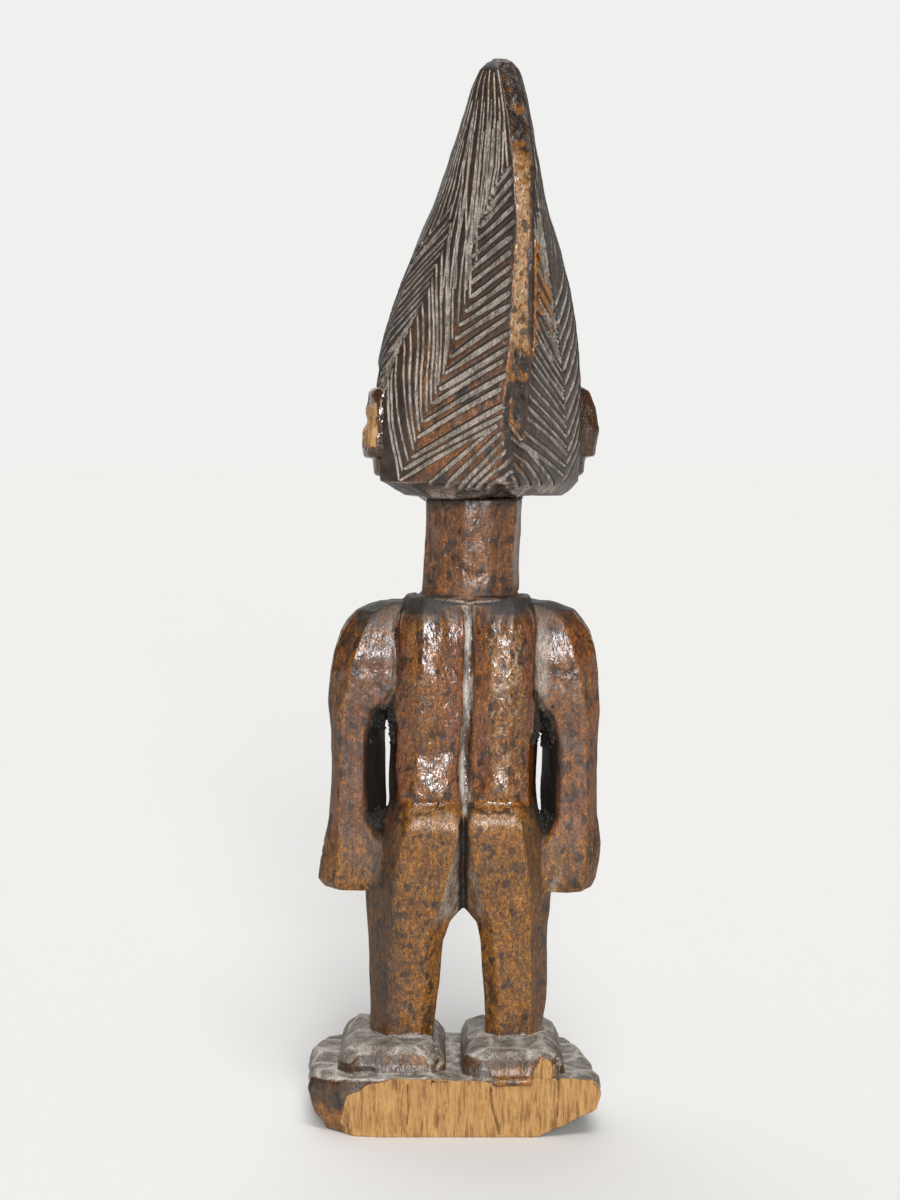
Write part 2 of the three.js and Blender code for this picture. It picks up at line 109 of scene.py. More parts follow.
def read_edges(mesh):
    edges = np.empty(len(mesh.edges) * 2, np.int32)
    mesh.edges.foreach_get("vertices", edges)
    return edges.reshape(-1, 2)


def store(mesh, name, values, kind="FLOAT"):
    layer = mesh.attributes.get(name) or mesh.attributes.new(name, kind, "POINT")
    field = "vector" if kind == "FLOAT_VECTOR" else "value"
    layer.data.foreach_set(field, np.ascontiguousarray(values, np.float32).ravel())


def fetch(mesh, name):
    values = np.empty(len(mesh.vertices), np.float32)
    mesh.attributes[name].data.foreach_get("value", values)
    return values.astype(float)


def new_object(name, mesh):
    piece = bpy.data.objects.new(name, mesh)
    bpy.context.scene.collection.objects.link(piece)
    return piece


def flatten_modifiers(piece):
    """Turns what the modifiers make into a plain mesh, and takes the modifiers away."""
    graph = bpy.context.evaluated_depsgraph_get()
    made = bpy.data.meshes.new_from_object(piece.evaluated_get(graph))
    old = piece.data
    piece.modifiers.clear()
    piece.data = made
    bpy.data.meshes.remove(old)
    return made


def triangles(mesh):
    return sum(len(face.vertices) - 2 for face in mesh.polygons)


# %% Noise, soft steps and smoothing
def hashed(corner, seed):
    key = corner @ np.array([73856093, 19349663, 83492791]) + seed * 265443
    key = (key ^ (key >> 13)) * 1274126177
    key = (key ^ (key >> 11)) * 668265263
    return ((key >> 9) & 0xFFFF) / 65535


def lattice_noise(points, size, seed):
    """Smooth noise from -1 to 1. The size is the lattice's pitch in mm, one number or one for each axis."""
    cell = points / np.asarray(size, float)
    low = np.floor(cell).astype(np.int64)
    t = cell - low
    t = t * t * (3 - 2 * t)
    total = np.zeros(len(points))
    for number in range(8):
        bit = np.array([number & 1, number >> 1 & 1, number >> 2 & 1])
        weight = np.prod(np.where(bit, t, 1 - t), axis=1)
        total += weight * (hashed(low + bit, seed) * 2 - 1)
    return total


def knife_cells(points, size, seed):
    """Scattered cells: how far a point is from its cell's border, and from its centre, in cells."""
    cell = points / np.asarray(size, float)
    low = np.floor(cell).astype(np.int64)
    best = np.full(len(points), 9.0)
    second = best.copy()
    for number in range(27):
        corner = low + np.array([number % 3 - 1, number // 3 % 3 - 1, number // 9 - 1])
        random = np.stack([hashed(corner, seed + k) for k in range(3)], axis=1)
        far = np.linalg.norm(cell - corner - random, axis=1)
        second = np.where(far < best, best, np.minimum(second, far))
        best = np.minimum(best, far)
    return second - best, best


def step(low, high, value):
    t = np.clip((np.asarray(value, float) - low) / (high - low), 0, 1)
    return t * t * (3 - 2 * t)


def neighbour_mean(edges, values, count):
    values = values.reshape(count, -1)
    number = np.bincount(edges.ravel(), minlength=count)
    total = np.stack([
        np.bincount(edges[:, 0], values[edges[:, 1], k], count)
        + np.bincount(edges[:, 1], values[edges[:, 0], k], count)
        for k in range(values.shape[1])
    ], axis=1)
    return total / np.maximum(number, 1)[:, None]


def relax(points, edges, weight, times):
    for _ in range(times):
        points = points + weight[:, None] * (neighbour_mean(edges, points, len(points)) - points)
    return points


print("noise at one place:", lattice_noise(np.array([[1.0, 2.0, 3.0]]), 5, 1).round(4))

# %% [markdown]
# ## Camera
# The photograph was taken from behind the figure, level with its ears and a little to its left, with a
# rather long lens. The camera comes first, so that each step can be looked at from where the photograph is.

# %% Camera of the photograph
CAMERA_PLACE = (3.9, 608, 176.6)
CAMERA_PITCH = 3.91  # degrees that it looks down
IMAGE_HEIGHT = 1200  # pixels
FOCAL_PIXELS = 2340
SENSOR = 36

lens_data = bpy.data.cameras.new("photo_camera")
lens_data.sensor_fit = "VERTICAL"
lens_data.sensor_height = SENSOR
lens_data.lens = SENSOR * FOCAL_PIXELS / IMAGE_HEIGHT
lens_data.clip_start = 0.01
camera = bpy.data.objects.new("photo_camera", lens_data)
camera.location = Vector(CAMERA_PLACE) * MM
camera.rotation_euler = (math.radians(90 - CAMERA_PITCH), 0, math.pi)
bpy.context.scene.collection.objects.link(camera)
bpy.context.scene.camera = camera
print("lens of", round(lens_data.lens, 1), "mm on a", SENSOR, "mm high sensor")

# %% [markdown]
# ## The hair's own skin
# The hair is a tall crest, and its outline at each level is a smooth curve from a flat ridge at the back
# round the side to the front. A grid of points laid on that curve gives an even mesh that is much finer
# than a remeshed solid, so the cuts stay crisp. The grid starts below the rim and closes at the tip.

# %% Outline of the hair, level by level
HEAD_TURN = math.radians(20)
HEAD_AXIS = (-3.6, 1.0)
# Level, and how far the ridge's left and right edges lie from its middle
RIDGE = np.array([
    [147.4, 3.6, 2.4], [170, 4, 2.4], [175, 3.7, 2.4], [181, 4.2, 1.9], [186, 4.2, 1.5], [197, 3.9, 1.35],
    [203, 3.7, 1.4], [209, 3.1, 1.6], [215, 2.4, 2.2], [221, 2.5, 2.5], [228, 2.2, 3.4], [238, 2.5, 3.4],
    [243, 2.4, 3.1], [257, 2.4, 2.4],
])
# Level, half width, ridge's reach back, reach forward, shift sideways, y of the widest place
HAIR = np.array([
    [147.4, 21.5, 18.6, 9, -0.8, 2], [151, 27.2, 23.2, 10, 0.2, 2], [157, 27.7, 25.6, 11, -0.1, 2],
    [165, 28.4, 27.4, 12, 0.4, 2], [175, 28.2, 28.2, 14, -0.2, 1], [179.6, 27.4, 28.2, 16, -0.75, 0.4],
    [181.6, 26.8, 28.3, 25.6, -1.2, 0], [186, 26.3, 28.4, 25, -1.6, -0.6], [197, 23.7, 29.6, 20, -1.5, 1.5],
    [209, 19.6, 31, 14, -0.9, 4.6], [221, 14.1, 31.6, 8, 0.2, 9], [233, 10.5, 29.4, 1, 0.5, 11.8],
    [243, 8.2, 25.6, -5, 0.1, 13.4], [250, 6.8, 21.6, -9, -0.1, 13.6], [254, 5.2, 18.6, -10.8, -0.4, 13.8],
    [255.6, 3.6, 16.9, -11.8, -0.5, 14], [256.5, 1.8, 15.6, -12.8, -0.5, 14],
])
HAIR_LOW, HAIR_TOP = HAIR[0, 0], HAIR[-1, 0]
TABLE_STEP = 0.2
SOFT_SPAN = 3.0  # the outline's corners between levels are rounded over this length
FRONT_SPAN = 0.6  # and those of its reach forward over this one, because the brow's edge is crisp
FORWARD = 3  # number of HAIR's column with the reach forward
HALF_RIDGE = 0.03  # along runs from 0 at the ridge's edge to minus twice this at its other edge


def smoothed_table():
    levels = np.arange(HAIR_LOW, HAIR_TOP + TABLE_STEP / 2, TABLE_STEP)
    columns = []
    for number in range(1, 6):
        raw = np.interp(levels, HAIR[:, 0], HAIR[:, number])
        span = FRONT_SPAN if number == FORWARD else SOFT_SPAN
        reach = np.arange(-3 * span, 3 * span + TABLE_STEP, TABLE_STEP)
        kernel = np.exp(-0.5 * (reach / span) ** 2)
        around = np.interp(levels[:, None] + reach[None, :], HAIR[:, 0], HAIR[:, number])
        soft = around @ kernel / kernel.sum()
        free = step(153, 158, levels) * (1 - step(248, 253, levels))
        columns.append(raw + free * (soft - raw))
    return levels, np.stack(columns, axis=1)


TABLE_LEVELS, TABLE = smoothed_table()


def hair_values(level):
    return [np.interp(level, TABLE_LEVELS, TABLE[:, k]) for k in range(5)]


def head_points(x, y, level):
    cos, sin = math.cos(HEAD_TURN), math.sin(HEAD_TURN)
    across = HEAD_AXIS[0] + x * cos - y * sin
    back = HEAD_AXIS[1] + x * sin + y * cos
    return np.stack([across, back, BASE_TOP + level + 0 * across], axis=-1)


def head_frame(points):
    x, y = points[:, 0] - HEAD_AXIS[0], points[:, 1] - HEAD_AXIS[1]
    cos, sin = math.cos(HEAD_TURN), math.sin(HEAD_TURN)
    return x * cos + y * sin, y * cos - x * sin


def ridge_edge(side, level):
    return np.interp(level, RIDGE[:, 0], RIDGE[:, 1 if side > 0 else 2])


def hair_points(side, along, level):
    """Points on the hair: along is 0 at the ridge's edge, 0.5 at the side and 1 in front."""
    along, level = np.broadcast_arrays(np.asarray(along, float), np.asarray(level, float))
    half, back, forward, shift, widest = hair_values(level)
    ridge = np.minimum(ridge_edge(side, level), 0.45 * half) * np.clip(1 + along / HALF_RIDGE, -1, 1)
    t = np.clip(along * 2, 0, 1)
    behind_x = (1 - t) ** 2 * ridge + 2 * t * (1 - t) * 0.86 * half + t * t * half
    behind_y = (1 - t) ** 2 * back + 2 * t * (1 - t) * (widest + back) / 2 + t * t * widest
    angle = np.clip(along - 0.5, 0, 0.5) * math.pi
    before_x = half * np.clip(np.cos(angle), 0, None) ** 0.9
    before_y = widest - (widest + forward) * np.sin(angle) ** 0.9
    x = np.where(along <= 0.5, behind_x, before_x)
    y = np.where(along <= 0.5, behind_y, before_y)
    return head_points(shift + side * x, y, level)


print("hair from", HAIR_LOW + BASE_TOP, "to", HAIR_TOP + BASE_TOP, "mm above the underside")

# %% Grid of the hair
FINE = 0.36  # pitch of the body's mesh
HAIR_PITCH = 0.27
BACK_ARC, FRONT_ARC, RIDGE_WIDTH = 38, 36, 5  # lengths of one ring's stretches, where the hair is widest
FRONT_COARSER = 2.6  # the plainer front has wider columns
RIM_TOP = 151  # the rim's bevel ends here
CAP = 2  # height of the rounded tip
RIM_ARC, CAP_ARC = 6, 5  # lengths of the outline over the rim's bevel and over the tip
UNDERSIDE_RINGS = 14


def ring_of(level):
    """One closed ring of the hair, from the front over the left side, the ridge and the right side."""
    back_columns = np.linspace(0, 0.5, round(BACK_ARC / HAIR_PITCH))
    front_columns = np.linspace(0.5, 1, round(FRONT_ARC / (FRONT_COARSER * HAIR_PITCH)))[1:]
    columns = np.concatenate([back_columns, front_columns])
    left = hair_points(1, columns, level)
    right = hair_points(-1, columns, level)
    share = np.linspace(0, 1, round(RIDGE_WIDTH / HAIR_PITCH) + 1)[1:-1, None]
    ridge = left[0] * (1 - share) + right[0] * share
    return np.concatenate([left[::-1], ridge, right[:-1]])


def hair_mesh():
    levels = np.concatenate([
        np.linspace(HAIR_LOW, RIM_TOP, round(RIM_ARC / HAIR_PITCH), endpoint=False),
        np.arange(RIM_TOP, HAIR_TOP - CAP, HAIR_PITCH * 0.95),
        np.linspace(HAIR_TOP - CAP, HAIR_TOP, round(CAP_ARC / HAIR_PITCH)),
    ])
    rings = [ring_of(level) for level in levels]
    low_middle, top_middle = rings[0].mean(axis=0), rings[-1].mean(axis=0)
    for share in np.linspace(1, 0, UNDERSIDE_RINGS)[1:-1]:
        rings.insert(0, low_middle + share * (ring_of(HAIR_LOW) - low_middle))
    for share in (0.75, 0.5, 0.25):
        rings.append(top_middle + share * (ring_of(HAIR_TOP) - top_middle))
    points = np.concatenate(rings + [low_middle[None], top_middle[None]])
    count = len(rings[0])
    start = np.arange(len(rings) - 1)[:, None] * count
    here = np.arange(count)[None, :]
    beyond = (here + 1) % count
    quads = np.stack([start + here, start + beyond, start + beyond + count, start + here + count], axis=-1)
    faces = quads.reshape(-1, 4).tolist()
    low_pole, top_pole = len(points) - 2, len(points) - 1
    last = (len(rings) - 1) * count
    for i in range(count):
        j = (i + 1) % count
        faces.append([low_pole, j, i])
        faces.append([top_pole, last + i, last + j])
    mesh = bpy.data.meshes.new("hair")
    mesh.from_pydata((points * MM).tolist(), [], faces)
    mesh.validate()
    return mesh


hair = new_object("hair_crest", hair_mesh())
print("hair grid:", len(hair.data.vertices), "points")

# %% [markdown]
# ## Herringbone cuts
# Each lock is one pull of a knife or a V gouge: a long groove with a broad lower wall and a steep upper
# one. They run in rows between a few lines: the ridge, a valley and a peak on the left, a valley on the
# right. Each cut is a chain of points with its width, depth and sideways direction, and a node tree
# carves them all into the surface at once.

# %% Lines that the cuts run between, as [level, along]
LINES = {
    "leftValley": [
        [150, 0.38], [154, 0.355], [157, 0.31], [162, 0.28], [166, 0.25], [170.5, 0.22], [176.5, 0.195],
        [186.5, 0.175], [196.5, 0.15], [203.5, 0.16], [210, 0.18], [214, 0.165], [217.5, 0.145],
        [221.5, 0.125],
    ],
    "leftPeak": [
        [172, 0.455], [180.5, 0.43], [185.5, 0.415], [192, 0.37], [199.5, 0.33], [206.5, 0.33],
        [213.5, 0.315], [220, 0.35],
    ],
    "rightRidge": [[150, -0.03], [160, -0.02], [166, 0.004], [250, 0.004]],
    "rightValley": [
        [150, 0.235], [156, 0.24], [160, 0.235], [166.5, 0.215], [171.5, 0.2], [179.5, 0.18], [185.5, 0.16],
        [191.5, 0.15], [196.5, 0.135], [201.5, 0.12], [206.5, 0.1], [216, 0.06],
    ],
    "side": [[150, 0.5], [250, 0.5]],
    "flank": [[150, 0.6], [250, 0.6]],
    "front": [[150, 0.985], [250, 0.985]],
}
# Long diagonals left of the ridge, as the level where each leaves the valley and where it meets the ridge
LEFT_DIAGONALS = [
    (220.5, 228.5), (217, 225.5), (213.8, 222.3), (210, 219), (206.6, 215.4), (203.4, 211.6), (200, 208),
    (196.6, 204.6), (193.2, 201.4), (190, 198), (186.5, 195), (182, 192), (178, 188.4), (174, 184.6),
    (170.5, 181.4), (166, 178), (162, 174.5), (157, 170.5), (154, 167.8), (151.3, 165.4),
]
# Rows of cuts: side, line that they leave, first and last level on it, line that they reach, first and
# last level on that, number of cuts, width
CUT_ROWS = [
    (1, "leftPeak", (216, 177), "leftValley", (180, 151.5), 13, 0.88),
    (1, "leftPeak", (220, 173), "flank", (203, 158), 21, 1.08),
    (-1, "rightRidge", (225, 161), "rightValley", (205, 152.5), 23, 1.6),
    (-1, "side", (214, 168), "rightValley", (195, 151), 12, 1.9),
    (-1, "side", (212, 181), "front", (202, 183), 13, 1.5),
    (1, "flank", (205, 181), "front", (216, 187), 12, 1.5),
    (-1, "side", (178, 152), "flank", (184, 156), 8, 1.4),
]
# Strokes from the tip: how far along the outline each starts, and the level and place where it ends
TIP_ENDS = {
    1: ([0.02, 0.05, 0.09, 0.13, 0.17, 0.21, 0.26, 0.31, 0.35, 0.4, 0.46, 0.52, 0.7, 0.95],
        [229, 225, 220.5, 216, 210.5, 203, 195, 187.5, 183, 221, 213, 206, 214, 216],
        [0.03, 0.08, 0.13, 0.155, 0.18, 0.165, 0.155, 0.18, 0.19, 0.37, 0.44, 0.54, 0.75, 0.96]),
    -1: ([0.03, 0.1, 0.22, 0.45, 0.75, 0.95],
         [226, 217, 206, 203, 208, 206],
         [0.03, 0.06, 0.16, 0.48, 0.8, 0.96]),
}
TIP_STROKES = {1: 38, -1: 30}
# The fan under the ridge's end and the last cuts above the rim, as side, first level, place along the
# outline there, last level and place there
FAN = [
    (1, 161.5, -0.005, 149.4, 0.13), (1, 159.4, -0.01, 149.4, 0.098), (1, 157, -0.02, 149.4, 0.066),
    (1, 154.4, -0.03, 149.4, 0.03), (-1, 166, -0.058, 161.6, -0.012), (-1, 162.4, -0.05, 149.6, 0.19),
    (-1, 158.6, -0.04, 149.5, 0.11), (-1, 156, -0.035, 149.5, 0.05), (-1, 153, -0.035, 149.4, 0.0),
    (1, 163.6, 0.0, 149.9, 0.175), (1, 165.4, 0.01, 150.4, 0.24),
]
# Strokes from the tip that fill the widest gaps, in the same order
FILLERS = [
    (1, 246, 0.38, 200, 0.16), (1, 238, 0.21, 205.5, 0.14), (1, 233, 0.245, 196, 0.14),
    (1, 233.5, 0.365, 199, 0.205), (1, 243, 0.145, 217, 0.125),
]
DIAGONAL_WIDTH, LOW_DIAGONAL_WIDTH = 1.9, 1.4
LOW_DIAGONALS = 156  # level below which the narrower ones leave
TIP_TOPS = (253, 237, 246, 241)  # the strokes from the tip start high and low by turns
PLACE_JITTER = 0.004  # a hand's error along the outline
STEP_JITTER = 0.12  # and in the pitch of a row, as a share of it
rng = np.random.default_rng(7)


def line_place(name, level):
    rows = np.array(LINES[name])
    return float(np.interp(level, rows[:, 0], rows[:, 1]))


def list_cuts():
    """Every cut as (side, start, end, width, straight), with start and end as (level, along)."""
    cuts = []
    for low, high in LEFT_DIAGONALS:
        start = (low, line_place("leftValley", low) + rng.uniform(-PLACE_JITTER, PLACE_JITTER))
        end = (high, rng.uniform(-PLACE_JITTER, 0.012))
        width = LOW_DIAGONAL_WIDTH if low < LOW_DIAGONALS else DIAGONAL_WIDTH
        cuts.append((1, start, end, width * rng.uniform(0.9, 1.1), True))
    for side, start_line, starts, end_line, ends, count, width in CUT_ROWS:
        for i in range(count):
            t = (i + rng.uniform(-STEP_JITTER, STEP_JITTER)) / (count - 1)
            first = starts[0] + (starts[1] - starts[0]) * t
            last = ends[0] + (ends[1] - ends[0]) * t
            start = (first, line_place(start_line, first) + rng.uniform(-PLACE_JITTER, PLACE_JITTER))
            end = (last, line_place(end_line, last) + rng.uniform(-PLACE_JITTER, PLACE_JITTER))
            cuts.append((side, start, end, width * rng.uniform(0.88, 1.12), end_line != "front"))
    for side, count in TIP_STROKES.items():
        begin, level, place = TIP_ENDS[side]
        for i in range(count):
            share = max(0, i + rng.uniform(-STEP_JITTER, STEP_JITTER)) / (count - 1)
            along = 0.02 + 0.94 * share ** 1.1
            top = TIP_TOPS[i % len(TIP_TOPS)] + rng.uniform(-1.5, 1.5)
            low = np.interp(along, begin, level) + rng.uniform(-1, 1)
            end = (low, np.interp(along, begin, place))
            cuts.append((side, (top, along), end, rng.uniform(0.6, 0.8), False))
    for rows, width in ((FAN, 1.35), (FILLERS, 0.75)):
        for side, first, start, last, end in rows:
            cuts.append((side, (first, start), (last, end), width, True))
    return cuts


hair_cuts = list_cuts()
print(len(hair_cuts), "cuts in the hair")

# %% Chains of points along the cuts
POINT_PITCH = 0.3
DEPTH_OF_WIDTH = 0.4  # a cut's depth as a share of its width


class Chains:
    """Points of many cuts, gathered for one mesh of loose points."""

    def __init__(self):
        self.place, self.across, self.half, self.depth, self.bottom = [], [], [], [], []

    def add(self, place, across, half, depth, bottom):
        count = len(place)
        self.place.append(place)
        self.across.append(across)
        self.half.append(np.broadcast_to(half, count))
        self.depth.append(np.broadcast_to(depth, count))
        self.bottom.append(np.broadcast_to(bottom, count))

    def build(self, name):
        mesh = bpy.data.meshes.new(name)
        place = np.concatenate(self.place)
        mesh.from_pydata((place * MM).tolist(), [], [])
        store(mesh, "across", np.concatenate(self.across), "FLOAT_VECTOR")
        store(mesh, "half", np.concatenate(self.half) * MM)
        store(mesh, "depth", np.concatenate(self.depth) * MM)
        store(mesh, "bottom", np.concatenate(self.bottom))
        print(name, "has", len(place), "points")
        return new_object(name, mesh)


def ends_taper(t, start=0.08, end=0.05):
    return np.clip(t / start, 0, 1) ** 0.6 * np.clip((1 - t) / end, 0, 1) ** 0.6


def laid_along(side, target, level):
    """Place along the outline at each level that lies nearest to a straight line of points."""
    choices = np.linspace(-2 * HALF_RIDGE, 0.75, 541)
    ring = hair_points(side, choices[None, :], level[:, None])
    nearest = ((ring - target[:, None, :]) ** 2).sum(axis=2).argmin(axis=1)
    return np.convolve(np.pad(choices[nearest], 3, mode="edge"), np.ones(7) / 7, mode="valid")


def hair_chain(chains, side, start, end, width, straight):
    """Adds one cut's points, with its half width, depth and sideways direction at each."""
    ends = hair_points(side, np.array([start[1], end[1]]), np.array([start[0], end[0]]))
    length = np.linalg.norm(ends[1] - ends[0])
    t = np.linspace(0, 1, max(8, int(length / POINT_PITCH)))
    swell = np.sin(t * math.pi)
    level = start[0] + (end[0] - start[0]) * t + rng.uniform(-0.3, 0.3) * swell
    along = start[1] + (end[1] - start[1]) * t
    if straight:
        along = laid_along(side, ends[0] + (ends[1] - ends[0]) * t[:, None], level)
    along = np.clip(along + rng.uniform(-0.003, 0.003) * swell, -0.059, 0.999)
    place = hair_points(side, along, level)
    round_way = hair_points(side, along + 0.01, level) - hair_points(side, along - 0.01, level)
    up_way = hair_points(side, along, level + 0.5) - hair_points(side, along, level - 0.5)
    out = np.cross(round_way, up_way) * (-1 if side > 0 else 1)
    out /= np.linalg.norm(out, axis=1)[:, None]
    way = np.gradient(place, axis=0)
    across = np.cross(out, way)
    across /= np.linalg.norm(across, axis=1)[:, None]
    to_ridge = -(across * round_way).sum(axis=1) / np.linalg.norm(round_way, axis=1)
    lift = across[:, 2] + 0.45 * to_ridge
    across *= np.where(np.median(lift) > 0, 1, -1)
    worn = 1 + 0.16 * np.sin(t * rng.uniform(3, 9) + rng.uniform(0, 6))
    half = width / 2 * worn * (0.75 + 0.25 * ends_taper(t, 0.3, 0.15))
    depth = width * DEPTH_OF_WIDTH * ends_taper(t) * rng.uniform(0.85, 1.12)
    chains.add(place, across, half, depth, rng.uniform(0.42, 0.6))


hair_chains = Chains()
for cut in hair_cuts:
    hair_chain(hair_chains, *cut)
hair_paths = hair_chains.build("hair_cut_points")

# %% [markdown]
# ## A node tree that carves
# The tree finds for each point of the surface the nearest point of a cut, and measures how far it lies to
# the side of it. Across a cut the depth rises steadily to its bottom and falls quickly on the steep side.
# The tree also leaves two named attributes for the finish: how deep the place is, and how far it lies before
# the steep wall, on the broad one where dust settles.

# %% Helper that adds a node, and the carving tree
def add(tree, kind, settings=None, links=None):
    """Adds a node with its settings, and links or sets its inputs by name or number."""
    node = tree.nodes.new(kind)
    for name, value in (settings or {}).items():
        setattr(node, name, value)
    for name, value in (links or {}).items():
        socket = node.inputs[name]
        if isinstance(value, bpy.types.NodeSocket):
            tree.links.new(value, socket)
        else:
            socket.default_value = value
    return node


def open_tree(tree, inputs):
    """Gives a node tree its named inputs and its output, and returns the node that they come in by."""
    for name, kind in inputs.items():
        tree.interface.new_socket(name, in_out="INPUT", socket_type="NodeSocket" + kind)
    tree.interface.new_socket("Geometry", in_out="OUTPUT", socket_type="NodeSocketGeometry")
    return add(tree, "NodeGroupInput")


def carving_tree():
    tree = bpy.data.node_groups.new("carve_cuts", "GeometryNodeTree")
    begin = open_tree(tree, {"Geometry": "Geometry", "Cut points": "Object", "Depth": "Float"})
    cuts = add(tree, "GeometryNodeObjectInfo", {}, {"Object": begin.outputs["Cut points"]})
    nearest = add(tree, "GeometryNodeSampleNearest", {"domain": "POINT"}, {
        "Geometry": cuts.outputs["Geometry"],
    })

    def sample(kind, name):
        if name:
            field = add(tree, "GeometryNodeInputNamedAttribute", {"data_type": kind}, {"Name": name})
        else:
            field = add(tree, "GeometryNodeInputPosition")
        node = add(tree, "GeometryNodeSampleIndex", {"data_type": kind, "domain": "POINT"}, {
            "Geometry": cuts.outputs["Geometry"], "Value": field.outputs[0],
            "Index": nearest.outputs["Index"],
        })
        return node.outputs["Value"]

    def maths(operation, *values):
        node = add(tree, "ShaderNodeMath", {"operation": operation}, dict(enumerate(values)))
        return node.outputs[0]

    place, across = sample("FLOAT_VECTOR", None), sample("FLOAT_VECTOR", "across")
    half, depth, bottom = sample("FLOAT", "half"), sample("FLOAT", "depth"), sample("FLOAT", "bottom")
    position = add(tree, "GeometryNodeInputPosition")
    offset = add(tree, "ShaderNodeVectorMath", {"operation": "SUBTRACT"}, {0: position.outputs[0], 1: place})
    sideways = add(tree, "ShaderNodeVectorMath", {"operation": "DOT_PRODUCT"}, {
        0: offset.outputs[0], 1: across,
    })
    length = add(tree, "ShaderNodeVectorMath", {"operation": "LENGTH"}, {0: offset.outputs[0]})
    share = maths("DIVIDE", sideways.outputs["Value"], half)
    broad = maths("DIVIDE", maths("ADD", share, 1.0), maths("ADD", bottom, 1.0))
    steep = maths("DIVIDE", maths("SUBTRACT", 1.0, share), maths("SUBTRACT", 1.0, bottom))
    profile = maths("MAXIMUM", maths("MINIMUM", broad, steep), 0.0)
    profile = maths("MINIMUM", maths("MULTIPLY", profile, 1.35), 1.0)
    near = maths("LESS_THAN", length.outputs["Value"], maths("MULTIPLY", half, 1.8))
    profile = maths("MULTIPLY", profile, near)
    taper = maths("DIVIDE", depth, maths("MULTIPLY", half, 2 * DEPTH_OF_WIDTH))
    marked = maths("MULTIPLY", profile, maths("MINIMUM", taper, 1.0))
    lean = maths("SUBTRACT", maths("ADD", bottom, 0.12), share)
    lean = maths("MAXIMUM", maths("MINIMUM", lean, 1.0), -1.0)
    sink = maths("MULTIPLY", maths("MULTIPLY", profile, depth), begin.outputs["Depth"])
    normal = add(tree, "GeometryNodeInputNormal")
    push = add(tree, "ShaderNodeVectorMath", {"operation": "SCALE"}, {
        0: normal.outputs[0], "Scale": maths("MULTIPLY", sink, -1.0),
    })
    kept = begin.outputs["Geometry"]
    for name, value in (("cut", marked), ("lean", lean)):
        kept = add(tree, "GeometryNodeStoreNamedAttribute", {"data_type": "FLOAT", "domain": "POINT"}, {
            "Geometry": kept, "Name": name, "Value": value,
        }).outputs["Geometry"]
    moved = add(tree, "GeometryNodeSetPosition", {}, {"Geometry": kept, "Offset": push.outputs[0]})
    end = add(tree, "NodeGroupOutput")
    tree.links.new(moved.outputs["Geometry"], end.inputs[0])
    return tree


carve_cuts = carving_tree()


def socket_id(tree, name):
    return next(item.identifier for item in tree.interface.items_tree
                if item.name == name and item.in_out == "INPUT")


def carve(piece, cut_points):
    modifier = piece.modifiers.new("carve", "NODES")
    modifier.node_group = carve_cuts
    modifier[socket_id(carve_cuts, "Cut points")] = cut_points
    modifier[socket_id(carve_cuts, "Depth")] = 1.0
    mesh = flatten_modifiers(piece)
    bpy.data.objects.remove(cut_points)
    return mesh


print("the carving tree has", len(carve_cuts.nodes), "nodes")

# %% Knife facets and cuts on the hair
def on_ridge(points, soft=0.4, ragged=0):
    """Share of the flat ridge at each point of the hair."""
    level = points[:, 2] - BASE_TOP
    x, y = head_frame(points)
    _, back, _, shift, _ = hair_values(level)
    inside = np.minimum(ridge_edge(1, level) - (x - shift), ridge_edge(-1, level) + (x - shift))
    return step(-soft, soft, inside + ragged) * step(-3, -1.5, y - back)


def dress_hair():
    mesh = hair.data
    points, normals = read_points(mesh), read_normals(mesh)
    level = points[:, 2] - BASE_TOP
    _, centre = knife_cells(points, (9, 9, 6), 11)
    rim = 1 - step(150, 153, level)
    dish = (0.3 + 0.9 * rim) * (0.3 - centre ** 2)
    uneven = 0.3 * lattice_noise(points, 17, 3) + 0.12 * lattice_noise(points, 6, 4)
    rubbed = 0.2 * lattice_noise(points, (2.5, 2.5, 4), 5) + 0.12 * lattice_noise(points, 1.1, 6)
    points += normals * (uneven - dish + on_ridge(points) * rubbed)[:, None]
    write_points(mesh, points)
    carved = carve(hair, hair_paths)
    print("hair carved, deepest share", round(fetch(carved, "cut").max(), 2))


dress_hair()

# %% [markdown]
# ## The body
# A copy of the CAD solid is merged, remeshed finely and relaxed, which rounds its edges as handling does.
# Under the hair's skin the remeshed hair is drawn inwards, so that only the fine one shows. Knife facets
# are a cell pattern: each cell is dished a little, and its borders stay as low ridges.

# %% Remeshed copy of the solid
def remeshed_body():
    mesh = frame["nodes"]["figure"].data.copy()
    shell = bmesh.new()
    shell.from_mesh(mesh)
    bmesh.ops.remove_doubles(shell, verts=shell.verts, dist=1e-6)
    shell.to_mesh(mesh)
    shell.free()
    mesh.materials.clear()
    piece = new_object("figure_body", mesh)
    remesh = piece.modifiers.new("even", "REMESH")
    remesh.mode = "VOXEL"
    remesh.voxel_size = FINE * MM
    flatten_modifiers(piece)
    return piece


body = remeshed_body()
print("remeshed body:", len(body.data.vertices), "points")

# %% Which points lie under the hair, and which are bare wood
ROW_PITCH = 0.5
HALF_DEGREES = 720
OUTLINE_POINTS = 400  # on each half of the outline


